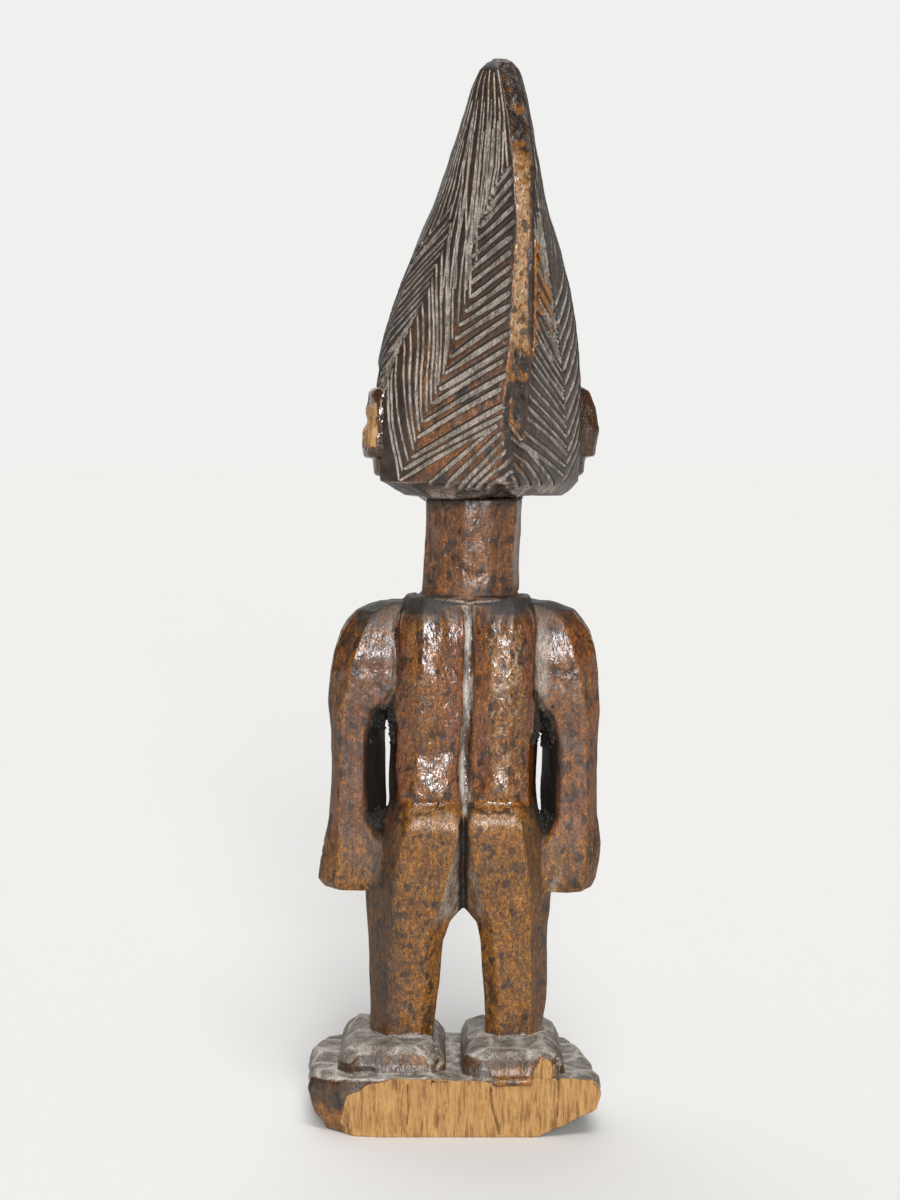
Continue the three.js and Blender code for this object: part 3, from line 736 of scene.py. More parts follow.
def hair_clearance(points):
    """How far points lie outside the hair's outline, along rays from its middle, and the rays' directions."""
    level = points[:, 2] - BASE_TOP
    rows = np.arange(HAIR_LOW, HAIR_TOP, ROW_PITCH)
    angles = np.linspace(-math.pi, math.pi, HALF_DEGREES + 1)
    along = np.linspace(0, 1, OUTLINE_POINTS)
    reach = np.zeros((len(rows), len(angles)))
    middle = np.zeros(len(rows))
    for i, row in enumerate(rows):
        _, back, forward, _, _ = hair_values(row)
        middle[i] = (back - forward) / 2
        outline = np.concatenate([hair_points(1, along, row), hair_points(-1, along, row)])
        x, y = head_frame(outline)
        y = y - middle[i]
        angle = np.arctan2(y, x)
        order = np.argsort(angle)
        reach[i] = np.interp(angles, angle[order], np.hypot(x, y)[order], period=2 * math.pi)
    x, y = head_frame(points)
    y = y - np.interp(level, rows, middle)
    angle = np.arctan2(y, x)
    row = np.clip((level - HAIR_LOW) / ROW_PITCH, 0, len(rows) - 1.001)
    column = (angle + math.pi) / (2 * math.pi) * (len(angles) - 1)
    r, c = row.astype(int), np.clip(column.astype(int), 0, len(angles) - 2)
    u, v = row - r, column - c
    edge = ((reach[r, c] * (1 - v) + reach[r, c + 1] * v) * (1 - u)
            + (reach[r + 1, c] * (1 - v) + reach[r + 1, c + 1] * v) * u)
    far = np.hypot(x, y)
    cos, sin = math.cos(HEAD_TURN), math.sin(HEAD_TURN)
    ray = np.stack([(x * cos - y * sin) / far, (x * sin + y * cos) / far, np.zeros(len(far))], axis=1)
    return far - edge, ray


def patch(points, x, z, half_x, half_z, soft=0.35, back=None):
    """Soft patch seen from behind, 1 in its middle: x and z of the middle and half sizes."""
    far = np.maximum(np.abs(points[:, 0] - x) / half_x, np.abs(points[:, 2] - z) / half_z)
    value = 1 - step(1 - soft, 1 + soft, far)
    if back is not None:
        value = value * step(back - 1, back + 1, points[:, 1])
    return value


# Upper edge of the bare break at the back, as [x, z]
BREAK_TOP = np.array([
    [-34, 16.5], [-30, 19.4], [-25.5, 19.2], [-24.6, 21.4], [-20, 21], [-17.6, 17.8], [-16.8, 13.4],
    [-7.2, 13], [-6.4, 14.6], [10, 15], [17, 15.4], [24.4, 13.8], [30, 10.5], [33, -0.5],
])


def bare_wood(points, normals):
    """Share of bare wood at each point: the base's split back, the right heel and the left ear's chip."""
    top = np.interp(points[:, 0], BREAK_TOP[:, 0], BREAK_TOP[:, 1])
    top = top + 0.5 * lattice_noise(points, 3, 21) + 0.25 * lattice_noise(points, 1, 22)
    facing = step(0.35, 0.6, normals[:, 1])
    broken = facing * step(21, 22.5, points[:, 1]) * step(-0.15, 0.15, top - points[:, 2])
    ear = patch(points + 0.5 * lattice_noise(points, 1.5, 24)[:, None], 25.5, 180.4, 3.2, 5.8, 0.15)
    return np.maximum(broken, 0.7 * ear * step(0.1, 0.45, normals[:, 1]))


print("break's upper edge has", len(BREAK_TOP), "corners")

# %% Worn edges, knife facets and splinters on the body
# The two long swellings of the back: middle x, half width, and how far they stand out
PANELS = [(9.4, 8.6, 1.5), (-10.4, 7.8, 1.5)]
# The spine's groove, as z, x of its middle, half width
SPINE = np.array([
    [60, 0.4, 1.0], [72, 0.3, 1.2], [78, -0.3, 1.5], [83.3, -0.6, 1.8], [87.6, -0.1, 1.8], [92, 0.2, 2.0],
    [96, 0.1, 1.9], [100.4, -0.3, 1.7], [109, -0.7, 1.5], [121.7, -1.0, 1.4], [131, -1.2, 1.5],
    [134, -1.2, 2.2], [137, -1.2, 1.6],
])
GROOVE_DEPTH = 1.7
# The back's depth between the swellings, as z and y, and how much further out it bends
BACK_PLANE = np.array([
    [84, 14.6], [87, 14.4], [94, 14.7], [100, 14.9], [108, 15.1], [114, 15.3], [126, 15.5], [130, 15.3],
    [134, 14.1],
])
BACK_BEND = np.array([
    [82, 0.3], [87, 0.7], [91, 0.3], [97, -0.2], [105, 0.3], [116, 0.2], [124, -0.2], [134, -1.1],
])
BACK_HALF_WIDTH = 18.5
UNDER_HAIR = 0.35  # points of the body up to this far outside the hair's outline are hidden
DRAWN_IN = 1.6  # how far they are drawn in


def beside_spine(points):
    """Distance from the middle of the spine's groove as a share of its half width."""
    middle = np.interp(points[:, 2], SPINE[:, 0], SPINE[:, 1])
    middle = middle + 0.12 * lattice_noise(points * [0, 0, 1], 3, 36)
    half = np.interp(points[:, 2], SPINE[:, 0], SPINE[:, 2])
    return (points[:, 0] - middle) / half


def shape_back(points, normals):
    """Moves the back's points in y, to its two swellings, its bend and the spine's groove."""
    x, y, z = points.T
    faces_back = step(0.3, 0.6, normals[:, 1])
    back = faces_back * (np.abs(x) < BACK_HALF_WIDTH) * step(83.5, 85.5, z) * (1 - step(132, 135, z))
    plane = np.interp(z, BACK_PLANE[:, 0], BACK_PLANE[:, 1])
    filled = y + (plane - y) * step(5.5, 4.5, np.abs(x - 0.3)) * back
    swell = sum(out * np.clip(1 - ((x - middle) / half) ** 2, 0, 1) for middle, half, out in PANELS)
    bend = np.interp(z, BACK_BEND[:, 0], BACK_BEND[:, 1])
    dents = 0.2 * lattice_noise(points, (5, 5, 7), 35)
    moved = filled + (swell - 0.6 + bend + dents) * back
    groove = GROOVE_DEPTH * np.clip(1 - beside_spine(points) ** 4, 0, 1)
    groove = groove * step(82, 85, z) * (1 - step(132.5, 134.5, z))
    moved -= groove * step(0.2, 0.4, normals[:, 1])
    # The shoulders fall forward towards their tops
    shoulder = (np.abs(x) > BACK_HALF_WIDTH) * faces_back * (1 - step(131, 136, z))
    moved -= 1.5 * step(119, 131, z) * shoulder
    # The left ear lost its outer edge: its upper part is narrower, with a slight notch in the middle
    ear = step(22.5, 24.5, x) * (step(178.5, 181.5, z) * (1 - step(186, 189, z)))
    x = x - (0.7 + 0.35 * (1 - step(1, 3, np.abs(z - 180.8)))) * ear
    return np.stack([x, moved, z], axis=1)


def dress_body():
    mesh = body.data
    edges = read_edges(mesh)
    points, normals = read_points(mesh), read_normals(mesh)
    outside, ray = hair_clearance(points)
    level = points[:, 2] - BASE_TOP
    inner = (level > HAIR_LOW - 0.5) & (outside < UNDER_HAIR)
    points[inner] -= ray[inner] * DRAWN_IN
    points[inner, 2] -= 1.2 * step(HAIR_TOP - 6, HAIR_TOP - 2, level[inner])
    bare = bare_wood(points, normals)
    bare_soft = np.clip(neighbour_mean(edges, bare, len(bare))[:, 0], 0, 1)
    weight = 0.5 * (1 - 0.75 * bare_soft)
    points = relax(points, edges, weight, round(1.1 / FINE))
    ledge = patch(points, 0, 82, 18, 6, 0.3, back=9)
    points = relax(points, edges, 0.6 * ledge, round(9 / FINE))
    write_points(mesh, points)
    points = shape_back(points, read_normals(mesh))
    points = relax(points, edges, weight, round(0.7 / FINE))
    write_points(mesh, points)
    normals = read_normals(mesh)

    low = 1 - step(14, 40, points[:, 2])
    # Long narrow facets above, and broad ones on the base and feet, with crisp crests between them
    _, centre = knife_cells(points + 0.6 * lattice_noise(points, 5, 30)[:, None], (6.5, 6.5, 14), 31)
    fine_work = 0.6 * (centre ** 2 - 0.25)
    border, centre = knife_cells(points, (9, 9, 7), 41)
    coarse_work = 1.1 * (centre ** 2 - 0.28)
    # the crests low down are kept for a painted highlight
    store(mesh, "crest_highlight", low * (1 - step(0.03, 0.13, border)))
    uneven = 0.2 * lattice_noise(points, 14, 32) + 0.06 * lattice_noise(points, 3.5, 33)
    lift = (1 - low) * fine_work + low * coarse_work + uneven
    fibre = lattice_noise(points, (1.3, 4, 16), 51)
    splinter = lattice_noise(points, (0.55, 4, 7), 52)
    torn = -0.35 + 0.45 * fibre + 0.28 * splinter + 0.5 * lattice_noise(points, (9, 9, 9), 53)
    lift = lift * (1 - bare) + torn * bare
    # Crust closes the tops of the gaps between arms and body
    gap_top = np.maximum(patch(points, 19.6, 109, 2.8, 4.2, 0.3), patch(points, -19.4, 106, 2.8, 4.6, 0.3))
    crumbly = 0.75 + 0.3 * lattice_noise(points, 1.6, 34)
    lift += gap_top * (1 - step(0.35, 0.7, np.abs(normals[:, 1]))) * crumbly
    lift *= ~inner
    flat = step(0.3, 1.2, points[:, 2])  # the underside stays flat
    points += normals * (lift * flat)[:, None]
    points[:, 2] = np.maximum(points[:, 2], 0)
    write_points(mesh, points)
    print("body dressed;", int(inner.sum()), "points drawn in under the hair")


dress_body()

# %% [markdown]
# ## Small cuts on the body
# A few thin lines finish the body: the line round the neck's foot, checks in the dry wood and cracks in the
# break, eyelids and lips, and the notches of fingers and toes. Each is a chain of points laid on the
# surface, dropped on to it from behind where it is on the back, and the same tree carves them.

# %% Lines on the body, as points in millimetres
# Name, points, width, depth, and where the bottom lies between the walls, 0 in the middle
BODY_LINES = [
    ("neck_foot", [(13.2, 6, 137.6), (9, 12, 137.2), (3, 14.5, 136.6), (-2, 15, 136.4), (-8, 14, 136.6),
                   (-12.5, 9, 137.2), (-14.8, 4, 137.6)], 1.5, 0.5, 0.3),
    ("neck_front", [(13.2, 4, 137.6), (12, -8, 136.4), (4, -13, 135.6), (-6, -13, 135.6), (-13, -8, 136.4),
                    (-14.8, 3, 137.6)], 1.5, 0.5, 0.3),
    ("slit", [(-12.3, 17, 122.6), (-12.0, 17, 119.6)], 0.75, 0.8, 0.0),
    ("check_a", [(2.2, 16, 144.4), (-0.4, 16, 143.3), (-2.6, 16, 142.2), (-5.6, 16, 142.9)], 0.9, 0.5, 0.2),
    ("check_b", [(5.4, 15, 147.5), (3, 15.5, 146.4)], 0.8, 0.4, 0.2),
    ("crack_left", [(14.6, 27, 14), (14.3, 27, 9), (14.9, 27, 3)], 0.6, 0.8, 0.0),
    ("crack_middle", [(-6.4, 27, 13), (-6.9, 27, 8), (-8.2, 27, 3), (-8.4, 27, 0.6)], 0.75, 0.9, 0.0),
    ("crack_right", [(-23.4, 27, 20), (-23.6, 27, 12), (-23.2, 27, 5)], 0.6, 0.8, 0.0),
    ("heel_gap", [(5.0, 21, 17.6), (3.6, 19, 21), (4.4, 15, 23.5), (3.5, 6, 24)], 1.6, 1.0, 0.0),
]
# Half of the face is given, in the head's own frame, and the other half is its mirror image
FACE_LINES = [
    ("upper_lid", [(4.6, -30, 167.9), (7.2, -30, 170.5), (10.4, -30, 171.2), (13.4, -30, 170),
                   (15.6, -28, 167.8)]),
    ("lower_lid", [(5.2, -30, 167.5), (7.6, -30, 166.2), (10.6, -30, 165.9), (13.4, -30, 166.8)]),
    ("brow", [(3.4, -30, 174), (7, -30, 176.3), (11.4, -30, 176.6), (16.4, -28, 174.4)]),
    ("lips", [(0, -31, 152.7), (3, -31, 152.8), (6.2, -30, 153.3)]),
    ("nostril_fold", [(5.2, -30, 159.2), (5.6, -30, 161.4), (4.4, -30, 163.6)]),
]
FINGER_GAPS = (49.8, 52.6, 55.4)  # levels of the gaps between fingers
TOE_GAPS = (-0.5, -0.17, 0.17, 0.5)  # shares of a foot's half width
HANDS = ((1, 38), (-1, -36))  # side, and x of the hand's outer face
TOES = ((19, 13.6, -20), (-12.2, 13, -19))  # x of a foot's middle, half width, y of its tip
ON_THE_BACK = 15  # lines beyond this y are dropped on to the surface from behind


def surface_tree(mesh):
    shell = bmesh.new()
    shell.from_mesh(mesh)
    tree = BVHTree.FromBMesh(shell)
    shell.free()
    return tree


def line_on_body(chains, tree, corners, width, depth, bottom):
    """Adds one line's points, laid on the surface that the tree holds."""
    corners = np.array(corners, float)
    spans = np.concatenate([[0], np.cumsum(np.linalg.norm(np.diff(corners, axis=0), axis=1))])
    t = np.linspace(0, spans[-1], max(6, int(spans[-1] / POINT_PITCH)))
    way_points = np.stack([np.interp(t, spans, corners[:, k]) for k in range(3)], axis=1)
    way_points += 0.18 * np.stack([lattice_noise(way_points, 4, 60 + k) for k in range(3)], axis=1)
    place, out = [], []
    for point in way_points:
        if point[1] > ON_THE_BACK:
            from_behind = Vector((point[0], 60, point[2])) * MM
            found, normal, _, _ = tree.ray_cast(from_behind, Vector((0, -1, 0)))
        if point[1] <= ON_THE_BACK or found is None:
            found, normal, _, _ = tree.find_nearest(Vector(point) * MM)
        place.append(np.array(found) / MM)
        out.append(np.array(normal))
    place, out = np.array(place), np.array(out)
    kernel = np.ones(5) / 5
    for k in range(3):
        padded = np.pad(out[:, k], 2, mode="edge")
        out[:, k] = np.convolve(padded, kernel, mode="valid")
    across = np.cross(out, np.gradient(place, axis=0))
    across /= np.linalg.norm(across, axis=1)[:, None] + 1e-9
    across *= 1 if across[:, 2].mean() + 0.2 * across[:, 0].mean() > 0 else -1
    share = t / t[-1]
    worn = 1 + 0.14 * np.sin(share * 17 + width * 9)
    chains.add(place, across, width / 2 * worn, depth * ends_taper(share, 0.06, 0.06), bottom)


def body_lines():
    chains = Chains()
    tree = surface_tree(body.data)
    for _, corners, width, depth, bottom in BODY_LINES:
        line_on_body(chains, tree, corners, width, depth, bottom)
    for _, corners in FACE_LINES:
        for side in (1, -1):
            turned = [head_points(side * np.array(x), y, level) for x, y, level in corners]
            line_on_body(chains, tree, turned, 1.0, 0.5, 0.2)
    for side, outer in HANDS:
        for level in FINGER_GAPS:
            z = BASE_TOP + level
            run = [
                (outer - side * 1, 2, z + 0.6), (outer - side * 2, -6, z), (outer - side * 7, -11, z - 0.4),
            ]
            line_on_body(chains, tree, run, 1.1, 0.6, 0.2)
    for middle, half, tip in TOES:
        for share in TOE_GAPS:
            x = middle + share * half
            line_on_body(chains, tree, [(x, tip + 7, 23), (x, tip, 20), (x, tip, 16)], 1.3, 0.8, 0.0)
    return chains.build("body_cut_points")


carve(body, body_lines())
print("body carved:", len(body.data.vertices), "points")

# %% [markdown]
# ## Where the finish goes
# Real wear has causes. Hands rub what stands proud, so edges and the ridge turn golden. Dust and old
# camwood paste stay in what lies deep. The break shows the wood's own colour. We measure how proud or deep
# each place is by comparing it with the mean of its neighbours over a few millimetres, and add soft patches
# where the real figure is worn or crusted. Shade and light are painted in as well: black in slots, hollows,
# under the hair and on sides turned away, and a grey sheen and light edges on the back.

# %% Masks of the body's parts
EAR_FROM = 25.5  # the ears stand clear of the head beyond this distance from its axis


def highest(*masks):
    """The greatest of some masks at each point."""
    return np.maximum.reduce(masks)


def band(value, start, full, fade, end):
    """A mask that is 1 from full to fade, and 0 before start and after end."""
    return step(start, full, value) * (1 - step(fade, end, value))


def proudness(points, normals, edges, times):
    """How far each point stands proud of its surroundings, in mm; deep places are negative."""
    smooth = relax(points, edges, np.full(len(points), 0.6), times)
    return ((points - smooth) * normals).sum(axis=1)


def body_masks(points, normals):
    """The figure's parts and the ways its surface faces, as masks, with the noise that frays them."""
    x, y, z = points.T
    at = SimpleNamespace(points=points, x=x, y=y, z=z)
    at.cloud = lattice_noise(points, 9, 71)
    at.ragged = lattice_noise(points, (2.5, 2.5, 6), 72)
    at.fibres = lattice_noise(points, (0.9, 4, 7), 73)
    at.leftward, at.backward, at.upward = normals.T
    at.outward = at.leftward * np.sign(x)
    at.behind = step(0.1, 0.6, at.backward)
    at.sideways = 1 - step(0.35, 0.75, np.abs(at.backward))
    at.up = step(0.35, 0.8, at.upward)
    at.bare = bare_wood(points, normals)
    at.side = np.abs(x) + 0.5 * at.ragged
    at.leg = band(z, 17, 24, 76, 84) * (1 - step(24, 25, at.side))
    at.torso = step(82, 85, z + 0.8 * at.ragged) * (1 - step(128, 134, z)) * (1 - step(17.8, 19, at.side))
    at.arm = step(17.8, 19, at.side) * band(z, 72, 78, 126, 134)
    thigh = at.leg * at.behind * (np.abs(x) < 22)
    at.hand = step(19, 21, at.side) * band(z, 58, 60, 73, 79) * (1 - thigh)
    at.seat = step(0.35, 0.6, at.backward) * (1 - step(15.5, 18, at.side)) * (y > 12)
    at.seat *= step(76.5, 78, z + 0.6 * at.ragged) * (1 - step(84, 86, z + 0.9 * at.ragged))
    swelling = sum(step(0, 0.6, 1 - ((x - middle) / (half * 0.7)) ** 2) for middle, half, _ in PANELS)
    at.panel = np.clip(swelling, 0, 1) * at.torso * at.behind
    beside = beside_spine(points)
    at.left_wall = step(-0.2, 0.5, beside)
    at.spine = (1 - step(0.75, 1.0, np.abs(beside))) * band(z, 72, 84, 134, 137) * step(6, 9, y)
    at.neck_up = step(134, 137, z)
    at.foot_side = (1 - step(23, 26, z)) * (1 - at.up) * (1 - at.bare)
    return at


print("a band from 2 to 5, at 0 to 6:", band(np.arange(7.0), 1, 2, 5, 6))

# %% Where the body is worn, dusty, dark and crusted
def worn_places(at, proud):
    """Where hands rubbed the skin down to golden wood: arms, legs, the seat's edge and what stands proud."""
    arms = at.arm * (0.42 + 0.12 * (at.x < 0)) * step(-0.8, 0.2, at.outward)
    legs = at.leg * (0.25 + 0.42 * at.behind)
    wear = highest(legs, 1.3 * at.seat, 0.5 * at.torso, arms, 0.45 * at.hand, 0.5 * at.neck_up)
    return wear + 0.1 * at.cloud + 0.14 * at.ragged + np.clip(proud * 1.2, -0.25, 0.3)


def dust_and_lit_wall_places(at, proud):
    """Where dust lies: low level places, the spine, the cleft, whatever lies deep; painted light on the
    spine's left wall.
    """
    x, z = at.x, at.z
    lying = (1.05 - 0.2 * (x < 0)) * at.up * (1 - step(30, 40, z))
    # the spine's left wall is made lighter, as painted light
    groove = at.spine * (0.62 + 0.4 * at.left_wall + 0.35 * at.fibres)
    cleft = step(0.2, 0.6, np.abs(at.leftward)) * (np.abs(x - 0.6) < 8) * band(z, 48, 56, 78, 86)
    outer_leg = at.leg * step(0.5, 0.9, at.outward) * (np.abs(x) > 15) * step(50, 56, z)
    armpits = highest(*[patch(at.points, middle, 119, 1.9, 13, 0.6, back=2) for middle in (19.0, -19.6)])
    inner_hand = at.hand * step(-1, 4, 27 - np.abs(x))
    dust_and_painted_light = highest(
        lying, groove, np.where(x > 0.2, 0.62, 0.45) * cleft, 0.35 * outer_leg,
        at.foot_side * (0.18 + 0.35 * at.cloud), np.clip(-proud * 1.6, 0, 0.6),
        0.45 * armpits * (0.75 + 0.6 * at.ragged), 0.45 * inner_hand * (0.8 + 0.6 * at.ragged),
    )
    return dust_and_painted_light + 0.12 * at.ragged


def black_and_shaded_places(at, cut):
    """Black patina on the base, feet and ears; painted shade in slots, cuts, under the hair, on shoulders and
    sides.
    """
    x, y, z, ragged = at.x, at.y, at.z, at.ragged
    # painted shade on the walls of the slots between the arms and the body
    slot_shade = band(at.side, 17, 18, 27, 29) * band(z, 73, 77, 109, 114) * at.sideways
    body_wall = step(0.3, 0.7, at.outward) * (np.abs(x) < 20) * step(-8, 0, 8 - y)
    slot_shade = slot_shade * highest(step(0.1, 0.5, -at.outward), body_wall)
    # painted shade on the right wall of the spine's groove
    groove = at.spine * (1 - at.left_wall) * step(-0.2, 0.3, -at.fibres)
    # painted shade on the shoulders' tops at the neck's foot
    shoulders = band(z, 131, 133, 136, 138) * step(0.15, 0.45, at.upward)
    # painted shadow on the neck under the hair's rim
    shadow_under_hair = step(157, 161.5, z + 0.8 * ragged) * (np.hypot(x - HEAD_AXIS[0], y - HEAD_AXIS[1]) < 15)
    # painted shade on the back's outer edges and the legs' right-facing sides; the left thigh's outer part is
    # darker
    flank_shade = at.torso * step(14.8, 17.8, np.abs(x))
    left_thigh = at.leg * step(14, 19, x) * (1 - at.seat)
    right_facing_shade = at.leg * step(0.4, 0.8, -at.leftward) * (x < 0)
    corner = patch(at.points + 0.8 * ragged[:, None], 35, 9.5, 4.5, 4, 0.5) * step(8, 14, y)
    across, along = head_frame(at.points)
    ears = step(161, 164, z) * step(EAR_FROM - 1, EAR_FROM, np.abs(across)) * (np.abs(along) < 8)
    ears = ears * (0.4 + 0.25 * step(0.1, 0.5, at.backward)) * (1 - at.bare)
    # painted shade in the neck's checks, the slit and the cleft
    check_shade = cut * step(138, 139, z) * (z < 160)
    slit = patch(at.points, -12.2, 121, 0.6, 2.2, back=10) * step(0.1, 0.4, cut)
    cleft = (1 - step(0.6, 1.6, np.abs(x - 0.5 - 0.3 * ragged))) * band(z, 50, 56, 79, 83) * (y > 3)
    return highest(
        slot_shade, 0.7 * groove, 0.95 * shoulders, 0.75 * shadow_under_hair, 0.5 * flank_shade, 0.6 * left_thigh,
        0.45 * right_facing_shade, (0.5 + 0.4 * ragged) * corner, 0.5 * at.foot_side * (0.8 + 0.5 * ragged),
        ears, check_shade, 1.3 * slit, cleft,
    )


def crust_and_shade_places(at):
    """Where black crust clings, and black painted shade: at the tops of the slots and in the webs above the
    hands.
    """
    tops = highest(patch(at.points, 21.5, 107, 4, 4.6), patch(at.points, -20.4, 106, 3.4, 5.4))
    webs = highest(patch(at.points, 23, 78, 5, 2), patch(at.points, -22, 77, 4.6, 3))
    crust_and_shade = highest(tops * step(-0.5, 0.5, 12.5 - at.y), 0.8 * webs * step(-0.3, 0.5, 9 - at.y))
    crust_and_shade = crust_and_shade * at.sideways * step(-8, -4, at.y)
    return crust_and_shade + 0.2 * at.ragged * (crust_and_shade > 0.05)


# One spot as an example, on the left back panel, neither proud nor deep and with no cut
spot = body_masks(np.array([[8.0, 16.0, 100.0]]), np.array([[0.0, 1.0, 0.0]]))
none = np.zeros(1)
shares = worn_places(spot, none), dust_and_lit_wall_places(spot, none), black_and_shaded_places(spot, none), crust_and_shade_places(spot)
print("there: worn %.2f, dusty %.2f, dark %.2f, crusted %.2f" % tuple(float(share[0]) for share in shares))

# %% The finish of the body, gathered
def rubbed_base(at):
    """Rubbed and stained places on the base: its left corner, and the torn skin of the heels."""
    frayed = at.points + 0.8 * at.ragged[:, None]
    stained = patch(frayed, 35, 10, 4.5, 4.5, 0.5) * step(6, 12, at.y) * (1 - at.up)
    corner = patch(frayed, 33, 3.5, 5, 3.2, 0.5) * step(8, 14, at.y)
    right_heel = patch(at.points + 0.6 * at.ragged[:, None], -12.2, 15.6, 5.4, 2.6, 0.3)
    right_heel = right_heel * step(0.2, 0.5, at.backward) * (1 - at.bare)
    left_heel = at.foot_side * patch(at.points, 15, 18.5, 7, 1.6, 0.5) * step(0.3, 0.6, at.backward)
    return stained, corner, highest(right_heel, 0.7 * left_heel)


def sheen(at):
    """How glossy the skin is, and where a grey wax bloom with a painted sheen lies on it."""
    x, z = at.x, at.z
    gloss = highest(at.torso, at.arm * (0.12 + 0.75 * step(108, 118, z)))
    gloss = gloss + 0.7 * step(138, 140, z) + 0.9 * step(161, 164, z)
    gloss = gloss + 0.05 * at.leg + 0.6 * at.seat + 0.6 * at.foot_side
    lower_panel = 0.7 * (1 - step(92, 97, z)) * step(0, 4, np.abs(x) - 5)
    # painted sheen: the back's swellings, the seat and the shoulders' backs are lightened towards grey, as
    # highlights
    wax_bloom_and_painted_sheen = 0.15 * at.panel * (step(100, 110, z) + lower_panel)
    wax_bloom_and_painted_sheen = wax_bloom_and_painted_sheen + (x < 0) * (0.3 * at.seat + 0.22 * at.panel * step(84, 90, z))
    wax_bloom_and_painted_sheen = wax_bloom_and_painted_sheen + 0.1 * at.arm * step(0.4, 0.75, at.backward) * band(z, 118, 124, 129, 132)
    return gloss, wax_bloom_and_painted_sheen


def finish_body(mesh):
    points, normals = read_points(mesh), read_normals(mesh)
    proud = proudness(points, normals, read_edges(mesh), round(6 / FINE))
    cut = fetch(mesh, "cut")
    at = body_masks(points, normals)
    wear, dust_and_painted_light, black_and_shade = worn_places(at, proud), dust_and_lit_wall_places(at, proud), black_and_shaded_places(at, cut)
    stained, corner, skin = rubbed_base(at)
    gloss, wax_bloom_and_painted_sheen = sheen(at)
    dust_and_painted_light = dust_and_painted_light * (1 - np.clip(black_and_shade, 0, 1) * (1 - at.foot_side))
    dust_and_painted_light = dust_and_painted_light * (1 - np.clip(stained + corner, 0, 1)) * (1 - skin)
    wear = highest(wear, 0.9 * corner + stained * (0.35 + 0.3 * at.cloud), 0.7 * skin)
    black_and_shade = black_and_shade * (1 - corner) * (1 - skin)
    red = highest(at.torso * (1 - 0.6 * at.panel), 0.7 * at.arm) * (0.8 + 0.4 * at.cloud) + 0.5 * at.neck_up
    # painted highlight on the base's facet crests and the spine's left edge
    crest_highlight = highest(fetch(mesh, "crest_highlight"), at.spine * at.left_wall * step(0, 0.4, at.fibres))
    return {
        "wear": wear, "dust_and_painted_light": dust_and_painted_light, "black_and_shade": black_and_shade, "bare": at.bare, "crust_and_shade": crust_and_shade_places(at),
        "red": red, "gloss": gloss, "wax_bloom_and_painted_sheen": wax_bloom_and_painted_sheen, "proud": 0.4 * proud, "cut": cut,
        # strength of the dust on the cuts' floors and of the painted shade on their steep walls
        "lean": fetch(mesh, "lean"), "cut_dust_and_wall_shade": 0.1 + 0.5 * band(at.z, 134, 135, 138, 139),
        "crest_highlight": crest_highlight * (1 - at.bare),
    }


print("there the gloss is %.2f and the haze %.2f" % tuple(float(value[0]) for value in sheen(spot)))

# %% The finish of the hair
def finish_hair(mesh):
    points, normals = read_points(mesh), read_normals(mesh)
    level = points[:, 2] - BASE_TOP
    cloud = lattice_noise(points, 11, 81)
    ragged = lattice_noise(points, (2, 2, 3), 82)
    x, _ = head_frame(points)
    _, _, _, shift, _ = hair_values(level)
    ridge = on_ridge(points, 0.5, 0.35 * ragged - 1.0 * (x < shift) * step(180, 190, level))
    golden = step(180, 188, level + 3 * ragged) * (1 - step(226, 236, level + 4 * ragged))
    flecks = step(0.1, 0.5, lattice_noise(points, (1.6, 1.6, 3), 83))
    edge = ridge * (1 - on_ridge(points, 0.4, -0.9 + 0.5 * ragged))
    rubbed_ridge = ridge * highest(0.85 * golden, 0.8 * flecks * (1 - golden) + 0.5 * edge)
    low_left = step(1.5, 3.5, x - shift) * (1 - step(168, 205, level + 5 * ragged)) * (1 - step(19, 25, x))
    wear = highest(rubbed_ridge, low_left * (0.52 + 0.4 * cloud + 0.3 * ragged), 0.22 + 0.2 * ragged)
    rim = 1 - step(150.2, 151.8, level)
    under = step(0.5, 0.9, -normals[:, 2])
    dust_and_painted_light = highest(0.85 * rim * (1 - under), 0.32 * step(-2, -7, x) * (1 - ridge))
    blotches = step(0.05, 0.45, lattice_noise(points, (1.8, 1.8, 2.6), 84))
    # black patina on the lands, and painted shade under the rim
    black_and_shade = highest(
        (0.7 - 0.1 * ragged) * (1 - 0.75 * low_left) * (1 - ridge) * (1 - rim),
        0.8 * ridge * (1 - golden) * (1 - flecks), under * rim, 0.9 * low_left * blotches,
    )
    zero = np.zeros(len(points))
    return {
        "wear": wear, "dust_and_painted_light": dust_and_painted_light, "black_and_shade": black_and_shade, "bare": zero, "crust_and_shade": zero, "red": 0.5 * low_left,
        # painted sheen with wax bloom on the golden ridge
        "gloss": 0.45 + 0.4 * ridge, "wax_bloom_and_painted_sheen": 0.7 * ridge * golden, "proud": zero,
        "cut": fetch(mesh, "cut"), "lean": fetch(mesh, "lean"),
        # strength of the dust on the cuts' floors and of the painted shade on their steep walls
        "cut_dust_and_wall_shade": 0.92 - 0.45 * ridge + 0.1 * cloud, "crest_highlight": zero,
    }


# %% [markdown]
# ## Fewer triangles, same finish
# The fine meshes are collapsed to what a part may hold. Collapsing spends its triangles where the surface
# bends. The attributes are measured before it, and each point kept takes them from the four nearest old
# ones. A mask's sharp edge is drawn later, by the material, where a smooth attribute passes a threshold.

# %% Collapse, and carry the attributes over
MOST_TRIANGLES = 188000


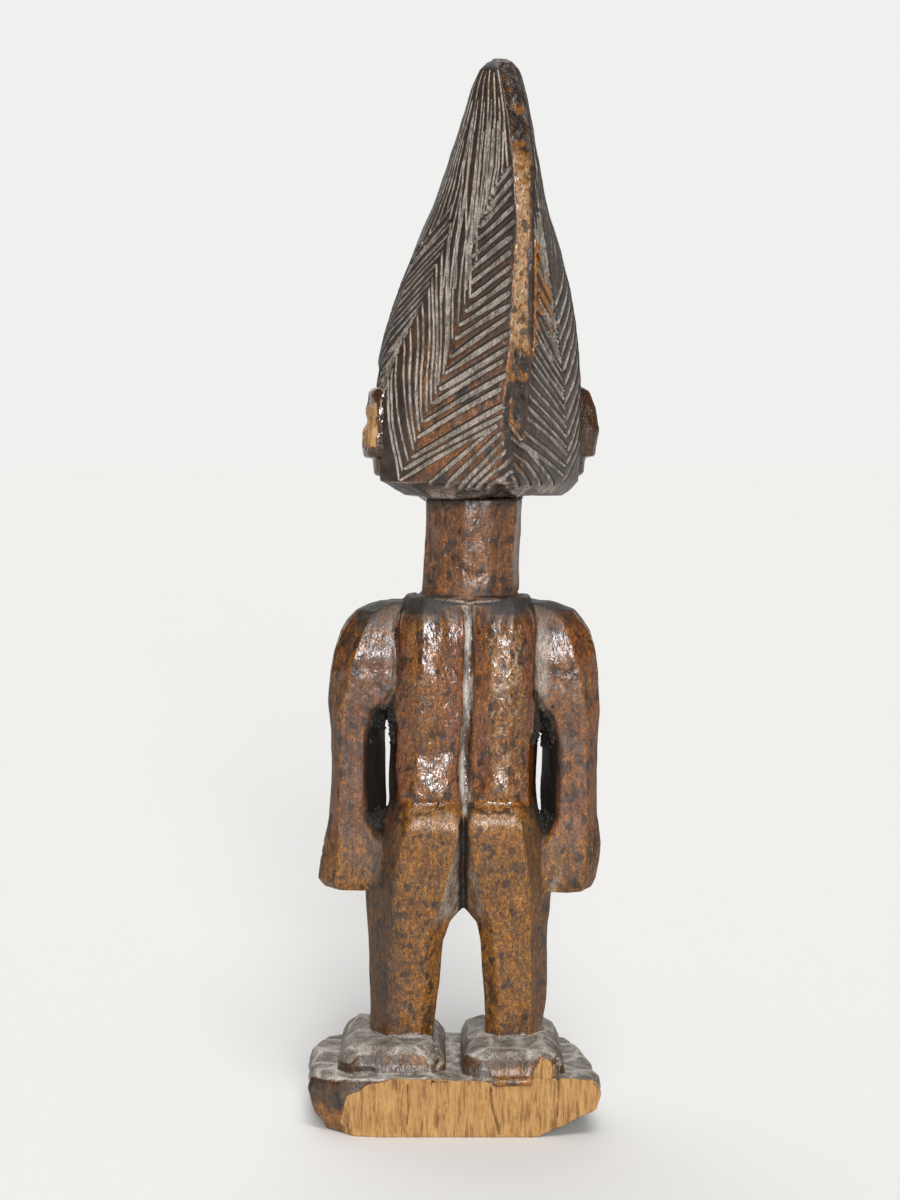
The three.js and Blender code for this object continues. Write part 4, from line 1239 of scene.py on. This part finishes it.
def thin_out(piece, values, most):
    """Collapses a piece to about so many triangles, and hands the old points' values on to the new ones."""
    points = read_points(piece.data)
    tree = KDTree(len(points))
    for number, point in enumerate(points):
        tree.insert(point, number)
    tree.balance()
    share = most / triangles(piece.data)
    if share < 1:
        collapse = piece.modifiers.new("collapse", "DECIMATE")
        collapse.ratio = share
        flatten_modifiers(piece)
    mesh = piece.data
    for layer in [a.name for a in mesh.attributes if a.name in values]:
        mesh.attributes.remove(mesh.attributes[layer])
    found = [tree.find_n(point, 4) for point in read_points(mesh)]
    near = np.array([[item[1] for item in four] for four in found])
    share = 1 / (np.array([[item[2] for item in four] for four in found]) + 0.02)
    share /= share.sum(axis=1)[:, None]
    for name, old in values.items():
        store(mesh, name, (old[near] * share).sum(axis=1))
    mesh.polygons.foreach_set("use_smooth", np.ones(len(mesh.polygons), bool))
    mesh.validate()
    print(piece.name, "now has", triangles(mesh), "triangles")


thin_out(hair, finish_hair(hair.data), MOST_TRIANGLES)
thin_out(body, finish_body(body.data), MOST_TRIANGLES)

# %% [markdown]
# ## The finish: oiled and handled hardwood
# Dense tropical hardwood, carved with a knife, oiled and handled: a deep red-brown skin with a waxy gloss,
# golden where it is rubbed, grey where dust lies, matt tan where it is split. Painted shade darkens slots,
# hollows and the cuts' steep walls, and a painted sheen and painted highlights lighten the back. One material
# holds all of them and mixes them by the attributes. Pores are drawn 0.4 mm wide and 3 mm long, coarser than
# the real ones, so that they show. Sizes of the patterns are in millimetres across, deep and up.

# %% Colours and the wood material
def colour(code):
    """An sRGB hex value as linear red, green, blue and 1."""
    values = [int(code[i:i + 2], 16) / 255 for i in (1, 3, 5)]
    return [v / 12.92 if v <= 0.04045 else ((v + 0.055) / 1.055) ** 2.4 for v in values] + [1]


PATINA = colour("#4c2c10")
PATINA_RED = colour("#5c2e15")
# black patina, also painted as shade in slots, hollows and the cuts' steep walls
BLACK_PATINA_AND_SHADE = colour("#150c06")
HONEY = colour("#a96b12")
HONEY_DEEP = colour("#6b4206")
HONEY_RED = colour("#935424")
HONEY_RED_DEEP = colour("#673616")
DUST = colour("#a39b90")
DUST_DEEP = colour("#60584e")
# light grey of the painted highlight on crests and the spine's left edge
CREST_HIGHLIGHT_GREY = colour("#c4beb5")
# grey-golden tone of the wax bloom and of the painted sheen
BLOOM_AND_SHEEN_TONE = colour("#bb9c79")
BARE = colour("#a57d4b")
BARE_LIGHT = colour("#c0975f")
BARE_DEEP = colour("#77532a")
# black of the crust, also painted as shade at the tops of the slots
CRUST_AND_SHADE_BLACK = colour("#14100d")
CRUST_LIGHT = colour("#2e2520")
DRY_ROUGHNESS = 0.64
POLISH = 0.43  # what a full gloss takes off it
RELIEF = 0.28  # height of the fine relief


def handled_hardwood():
    material = bpy.data.materials.new("handled_hardwood")
    material.use_nodes = True
    tree = material.node_tree
    tree.nodes.clear()
    place = add(tree, "ShaderNodeTexCoord").outputs["Object"]

    def read(name):
        return add(tree, "ShaderNodeAttribute", {"attribute_name": name}).outputs["Fac"]

    def maths(operation, *values, clamp=False):
        settings = {"operation": operation, "use_clamp": clamp}
        node = add(tree, "ShaderNodeMath", settings, dict(enumerate(values)))
        return node.outputs[0]

    def noise(size, detail=3.0, rough=0.55, warp=0.0):
        scale = add(tree, "ShaderNodeMapping", {}, {
            "Vector": place, "Scale": tuple(1 / (side * MM) for side in size),
        })
        node = add(tree, "ShaderNodeTexNoise", {}, {
            "Vector": scale.outputs[0], "Scale": 1.0, "Detail": detail, "Roughness": rough,
            "Distortion": warp,
        })
        return node.outputs["Fac"]

    def ramp(value, low, high):
        node = add(tree, "ShaderNodeMapRange", {"interpolation_type": "SMOOTHSTEP"}, {
            "Value": value, "From Min": low, "From Max": high,
        })
        return node.outputs["Result"]

    def mix(factor, under, over):
        node = add(tree, "ShaderNodeMix", {"data_type": "RGBA"}, {"Factor": factor, "A": under, "B": over})
        return node.outputs["Result"]

    def times(*values):
        out = values[0]
        for value in values[1:]:
            out = maths("MULTIPLY", out, value)
        return out

    def swing(value, amount):
        """A noise as a swing to both sides of zero."""
        return maths("MULTIPLY_ADD", value, amount, -amount / 2)

    cloud = noise((14, 14, 22), 4)
    mottle = noise((3, 3, 5.5), 5, 0.62)
    leather = noise((0.9, 0.9, 1.5), 5, 0.7)
    streak = noise((0.9, 0.9, 13), 3, 0.6)
    grain = noise((0.4, 0.4, 3), 3, 0.65)
    speck = noise((0.45, 0.45, 0.6), 3, 0.6)
    grit = noise((0.32, 0.32, 0.42), 2, 0.6)
    spot = noise((2.4, 2.4, 3.4), 3, 0.55)
    crinkle = noise((1.5, 1.5, 2.2), 1.5, 0.5, 1.0)
    dent = noise((4, 4, 6), 1, 0.5)
    fibre = noise((0.7, 3, 8), 4, 0.65)
    splinter = noise((2.4, 6, 22), 3, 0.6)

    # Inside a cut: its broad floor and its steep wall
    deep = ramp(read("cut"), 0.14, 0.34)
    on_floor = times(deep, ramp(read("lean"), -0.1, 0.12))
    on_wall = maths("SUBTRACT", ramp(read("cut"), 0.02, 0.12), on_floor, clamp=True)

    # The handled skin: dark patina, honey where it is worn, a grey wax bloom with painted sheen, black pores
    # and spots
    patina = mix(ramp(cloud, 0.22, 0.5), BLACK_PATINA_AND_SHADE, PATINA)
    patina = mix(times(read("red"), ramp(mottle, 0.35, 0.6)), patina, PATINA_RED)
    bright_grain = ramp(maths("ADD", grain, swing(leather, 0.8)), 0.4, 0.68)
    honey = mix(bright_grain, HONEY_DEEP, HONEY)
    honey = mix(read("red"), honey, mix(bright_grain, HONEY_RED_DEEP, HONEY_RED))
    worn = read("wear")
    for pattern, amount in ((mottle, 1.4), (leather, 1.2), (streak, 1.3)):
        worn = maths("ADD", worn, swing(pattern, amount))
    wood = mix(ramp(worn, 0.08, 0.92), patina, honey)
    # painted sheen, crinkled, over the wax bloom
    crinkled_bloom_and_sheen = maths("ADD", read("wax_bloom_and_painted_sheen"), swing(crinkle, 2.2))
    wood = mix(times(ramp(crinkled_bloom_and_sheen, 0.2, 1.0), ramp(read("wax_bloom_and_painted_sheen"), 0.0, 0.3), 0.6), wood, BLOOM_AND_SHEEN_TONE)
    pitted = maths("ADD", swing(speck, 0.8), swing(grain, 0.6))
    wood = mix(times(ramp(pitted, 0.0, 0.13), 0.75), wood, BLACK_PATINA_AND_SHADE)
    wood = mix(times(ramp(spot, 0.55, 0.63), 0.75), wood, BLACK_PATINA_AND_SHADE)
    proud_edge = maths("ADD", maths("MULTIPLY", read("proud"), 3.0), maths("MULTIPLY", grain, 0.6))
    wood = mix(times(ramp(proud_edge, 0.5, 1.0), 0.5), wood, HONEY)

    # Black patina and painted shade in dark places, and painted shade on the steep walls of the cuts
    land_black_and_wall_shade = times(read("black_and_shade"), maths("SUBTRACT", 1.0, on_floor))
    land_black_and_wall_shade = maths("ADD", land_black_and_wall_shade, swing(mottle, 0.6))
    land_black_and_wall_shade = maths("MAXIMUM", land_black_and_wall_shade, times(on_wall, read("cut_dust_and_wall_shade")))
    wood = mix(times(ramp(land_black_and_wall_shade, 0.12, 0.9), 0.94), wood, BLACK_PATINA_AND_SHADE)

    # Dust where it lies and on the floors of the cuts, painted light on the spine's left wall, and a painted
    # highlight on crests
    settled = maths("ADD", times(read("dust_and_painted_light"), maths("SUBTRACT", 1.0, on_wall)), swing(speck, 0.8))
    settled = maths("MAXIMUM", settled, maths("ADD", times(on_floor, read("cut_dust_and_wall_shade")), swing(grain, 0.6)))
    dusty_and_lit = mix(ramp(maths("ADD", mottle, swing(grain, 1.0)), 0.35, 0.65), DUST_DEEP, DUST)
    # painted highlight along crests
    dusty_and_lit = mix(times(read("crest_highlight"), ramp(leather, 0.32, 0.5)), dusty_and_lit, CREST_HIGHLIGHT_GREY)
    dust_share = times(ramp(settled, 0.15, 0.85), 0.88)
    wood = mix(dust_share, wood, dusty_and_lit)

    # Split wood, and black crust with painted shade at the slots' tops
    torn = mix(ramp(maths("ADD", fibre, swing(mottle, 0.7)), 0.32, 0.54), BARE_DEEP, BARE)
    torn = mix(times(ramp(splinter, 0.45, 0.7), 0.5), torn, BARE_LIGHT)
    torn = mix(times(ramp(grain, 0.53, 0.66), 0.5), torn, BARE_DEEP)
    torn = mix(times(ramp(mottle, 0.56, 0.7), 0.35), torn, HONEY_DEEP)
    torn = mix(times(read("cut"), 0.85), torn, PATINA)
    bare_share = ramp(maths("ADD", read("bare"), swing(speck, 0.6)), 0.35, 0.6)
    wood = mix(bare_share, wood, torn)
    crust_and_shade_share = ramp(maths("ADD", read("crust_and_shade"), swing(speck, 0.8)), 0.3, 0.65)
    wood = mix(crust_and_shade_share, wood, CRUST_AND_SHADE_BLACK)
    wood = mix(times(ramp(grit, 0.5, 0.34), maths("SUBTRACT", 1.0, bare_share), 0.55), wood, BLACK_PATINA_AND_SHADE)

    # Wax makes it smooth, and dust, split wood and crust make it matt
    matt = maths("MAXIMUM", bare_share, maths("MAXIMUM", times(dust_share, 0.8), crust_and_shade_share))
    waxed = maths("SUBTRACT", DRY_ROUGHNESS, maths("MULTIPLY", read("gloss"), POLISH))
    waxed = maths("ADD", waxed, swing(mottle, 0.2))
    roughness = maths("ADD", waxed, times(matt, 0.35), clamp=True)

    # Fine relief: crinkled skin, dents, pores, torn fibres and grains of dust
    relief = maths("ADD", times(crinkle, 0.8), times(dent, 2.4))
    relief = maths("ADD", relief, times(streak, 0.12))
    relief = maths("SUBTRACT", relief, times(ramp(pitted, 0.03, 0.16), 0.1))
    relief = maths("ADD", relief, times(fibre, bare_share, 1.3))
    relief = maths("ADD", relief, times(speck, dust_share, 0.4))
    bump = add(tree, "ShaderNodeBump", {}, {"Strength": 1.0, "Distance": RELIEF * MM, "Height": relief})
    shader = add(tree, "ShaderNodeBsdfPrincipled", {}, {
        "Base Color": wood, "Roughness": roughness, "Normal": bump.outputs[0],
        "IOR": 1.5, "Specular IOR Level": 0.65,
    })
    end = add(tree, "ShaderNodeOutputMaterial")
    tree.links.new(shader.outputs[0], end.inputs[0])
    return material


wood = handled_hardwood()
for piece in (hair, body):
    piece.data.materials.clear()
    piece.data.materials.append(wood)
print("wood material has", len(wood.node_tree.nodes), "nodes")

# %% [markdown]
# ## Crust in the armpits
# Old dirt and oil cling as black crumbs where nobody rubs: in the armpits, above the hands and between
# the feet. They are one small lump, scattered over the body by a node tree with a fixed seed.

# %% Crumbs
CRUMB_DENSITY = 2.0e6  # for each square metre, where they lie thickest
CRUMB_SIZES = (0.12, 0.85)  # smallest and largest radius
FULL_TURN = 6.28


def lump_object():
    shell = bmesh.new()
    bmesh.ops.create_icosphere(shell, subdivisions=1, radius=1)
    for number, vertex in enumerate(shell.verts):
        vertex.co *= 0.75 + 0.5 * ((number * 37 % 11) / 11)
    mesh = bpy.data.meshes.new("lump")
    shell.to_mesh(mesh)
    shell.free()
    return new_object("lump", mesh)


def crumb_tree():
    tree = bpy.data.node_groups.new("scatter_crumbs", "GeometryNodeTree")
    begin = open_tree(tree, {
        "Geometry": "Geometry", "Lump": "Object", "Number per square metre": "Float", "Smallest": "Float",
        "Largest": "Float", "Material": "Material",
    })
    share = add(tree, "GeometryNodeInputNamedAttribute", {"data_type": "FLOAT"}, {"Name": "crumbs"})
    density = add(tree, "ShaderNodeMath", {"operation": "MULTIPLY"}, {
        0: share.outputs[0], 1: begin.outputs["Number per square metre"],
    })
    spots = add(tree, "GeometryNodeDistributePointsOnFaces", {"distribute_method": "RANDOM"}, {
        "Mesh": begin.outputs["Geometry"], "Density": density.outputs[0], "Seed": 5,
    })
    lump = add(tree, "GeometryNodeObjectInfo", {}, {"Object": begin.outputs["Lump"]})
    turn = add(tree, "FunctionNodeRandomValue", {"data_type": "FLOAT_VECTOR"}, {
        "Min": (0, 0, 0), "Max": (FULL_TURN,) * 3, "Seed": 8,
    })
    size = add(tree, "FunctionNodeRandomValue", {"data_type": "FLOAT"}, {"Seed": 9})
    tree.links.new(begin.outputs["Smallest"], size.inputs[2])
    tree.links.new(begin.outputs["Largest"], size.inputs[3])
    copies = add(tree, "GeometryNodeInstanceOnPoints", {}, {
        "Points": spots.outputs["Points"], "Instance": lump.outputs["Geometry"],
        "Rotation": turn.outputs[0], "Scale": size.outputs[1],
    })
    real = add(tree, "GeometryNodeRealizeInstances", {}, {"Geometry": copies.outputs[0]})
    coloured = add(tree, "GeometryNodeSetMaterial", {}, {
        "Geometry": real.outputs[0], "Material": begin.outputs["Material"],
    })
    end = add(tree, "NodeGroupOutput")
    tree.links.new(coloured.outputs[0], end.inputs[0])
    return tree


def crust_material():
    material = bpy.data.materials.new("baked_crust")
    material.use_nodes = True
    tree = material.node_tree
    shader = tree.nodes["Principled BSDF"]
    place = add(tree, "ShaderNodeTexCoord").outputs["Object"]
    speck = add(tree, "ShaderNodeTexNoise", {}, {"Vector": place, "Scale": 1 / (0.8 * MM), "Detail": 3.0})
    tone = add(tree, "ShaderNodeMix", {"data_type": "RGBA"}, {
        "Factor": speck.outputs["Fac"], "A": CRUST_AND_SHADE_BLACK, "B": CRUST_LIGHT,
    })
    tree.links.new(tone.outputs["Result"], shader.inputs["Base Color"])
    shader.inputs["Roughness"].default_value = 0.8
    return material


def crumb_share(mesh):
    """Where the crumbs lie: at the tops of the slots, in the webs of the hands and between the heels."""
    points = read_points(mesh)
    y = points[:, 1]
    ragged = np.clip(0.4 + 0.7 * lattice_noise(points, 2.4, 91), 0, 1)
    left = patch(points, 21.4, 106.5, 3.4, 4.6) * step(0, 2, 12 - y)
    left_run = 0.9 * patch(points, 19, 104, 1.8, 4.5) * step(0, 1, 11 - y)
    right = patch(points, -20.2, 104, 2.8, 6) * step(0, 2, 12 - y)
    left_web = patch(points, 23, 78, 4.6, 1.8) * step(0, 1, 10 - y)
    webs = left_web + patch(points, -21.8, 77, 4, 3) * step(0, 1, 9 - y)
    heels = 0.25 * patch(points, 3, 24, 3.4, 2.6) * step(-1, 1, y - 2)
    return np.clip(left + left_run + right + webs + heels, 0, 1) * ragged


def make_crumbs():
    source = new_object("crust_crumbs", body.data.copy())
    store(source.data, "crumbs", crumb_share(source.data))
    lump = lump_object()
    tree = crumb_tree()
    modifier = source.modifiers.new("scatter", "NODES")
    modifier.node_group = tree
    values = {
        "Lump": lump, "Number per square metre": CRUMB_DENSITY, "Smallest": CRUMB_SIZES[0] * MM,
        "Largest": CRUMB_SIZES[1] * MM, "Material": crust_material(),
    }
    for name, value in values.items():
        modifier[socket_id(tree, name)] = value
    flatten_modifiers(source)
    bpy.data.objects.remove(lump)
    print("crumbs:", triangles(source.data), "triangles")
    return source


crumbs = make_crumbs()

# %% [markdown]
# ## Floor and light
# The photograph has soft daylight from behind the camera and a white wall. A broad high sun models the
# planes, two low ones behind the camera give the silvery lights on the back, and two weaker ones in front
# keep the face clear. The sky is bright where the camera sees it and dimmer as a light, so that the hollows
# stay dark.

# %% Floor, sky and suns
# Name, azimuth, height and width in degrees, strength
SUNS = [
    ("ceiling_behind_camera", -10, 58, 26, 1.35),
    ("window_behind_camera", -5, 19, 17, 1.5),
    ("low_window_behind_camera", -4, 8, 14, 1.55),
    ("light_from_above", 160, 70, 40, 0.6),
    ("light_on_the_face", 172, 26, 60, 0.9),
]
SKY_SEEN, SKY_GIVEN = 0.905, 0.18
FLOOR_REACH = 14.0  # metres to each side
PAPER = colour("#eae9e7")
SKY = colour("#fbfbfa")


def pale_floor():
    mesh = bpy.data.meshes.new("floor")
    corners = [(x * FLOOR_REACH, y * FLOOR_REACH, 0) for x, y in ((-1, -1), (1, -1), (1, 1), (-1, 1))]
    mesh.from_pydata(corners, [], [(0, 1, 2, 3)])
    floor = new_object("floor", mesh)
    material = bpy.data.materials.new("pale_paper")
    material.use_nodes = True
    shader = material.node_tree.nodes["Principled BSDF"]
    shader.inputs["Base Color"].default_value = PAPER
    shader.inputs["Roughness"].default_value = 1.0
    shader.inputs["Specular IOR Level"].default_value = 0.0
    mesh.materials.append(material)


def pale_sky(seen, given):
    """A sky with one strength for the camera, and another for what it gives as light."""
    world = bpy.data.worlds.new("pale_room")
    bpy.context.scene.world = world
    world.use_nodes = True
    tree = world.node_tree
    background = tree.nodes["Background"]
    background.inputs["Color"].default_value = SKY
    path = add(tree, "ShaderNodeLightPath")
    strength = add(tree, "ShaderNodeMath", {"operation": "MULTIPLY_ADD"}, {
        0: path.outputs["Is Camera Ray"], 1: seen - given, 2: given,
    })
    tree.links.new(strength.outputs[0], background.inputs["Strength"])


def soft_sun(name, azimuth, height, width, strength):
    """A sun at an azimuth, counted from behind the figure, and a height; its width softens the shadows."""
    data = bpy.data.lights.new(name, "SUN")
    data.energy = strength
    data.angle = math.radians(width)
    sun = bpy.data.objects.new(name, data)
    turn, rise = math.radians(azimuth), math.radians(height)
    place = Vector((math.sin(turn) * math.cos(rise), math.cos(turn) * math.cos(rise), math.sin(rise)))
    sun.location = place
    sun.rotation_euler = place.to_track_quat("Z", "Y").to_euler()
    bpy.context.scene.collection.objects.link(sun)


pale_floor()
pale_sky(SKY_SEEN, SKY_GIVEN)
for sun in SUNS:
    soft_sun(*sun)
bpy.context.scene.view_settings.view_transform = "Standard"

# %% Hand the pieces to the frame
for piece in (hair, body, crumbs):
    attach(piece, "root")
for piece in (hair, body):
    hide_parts("figure")
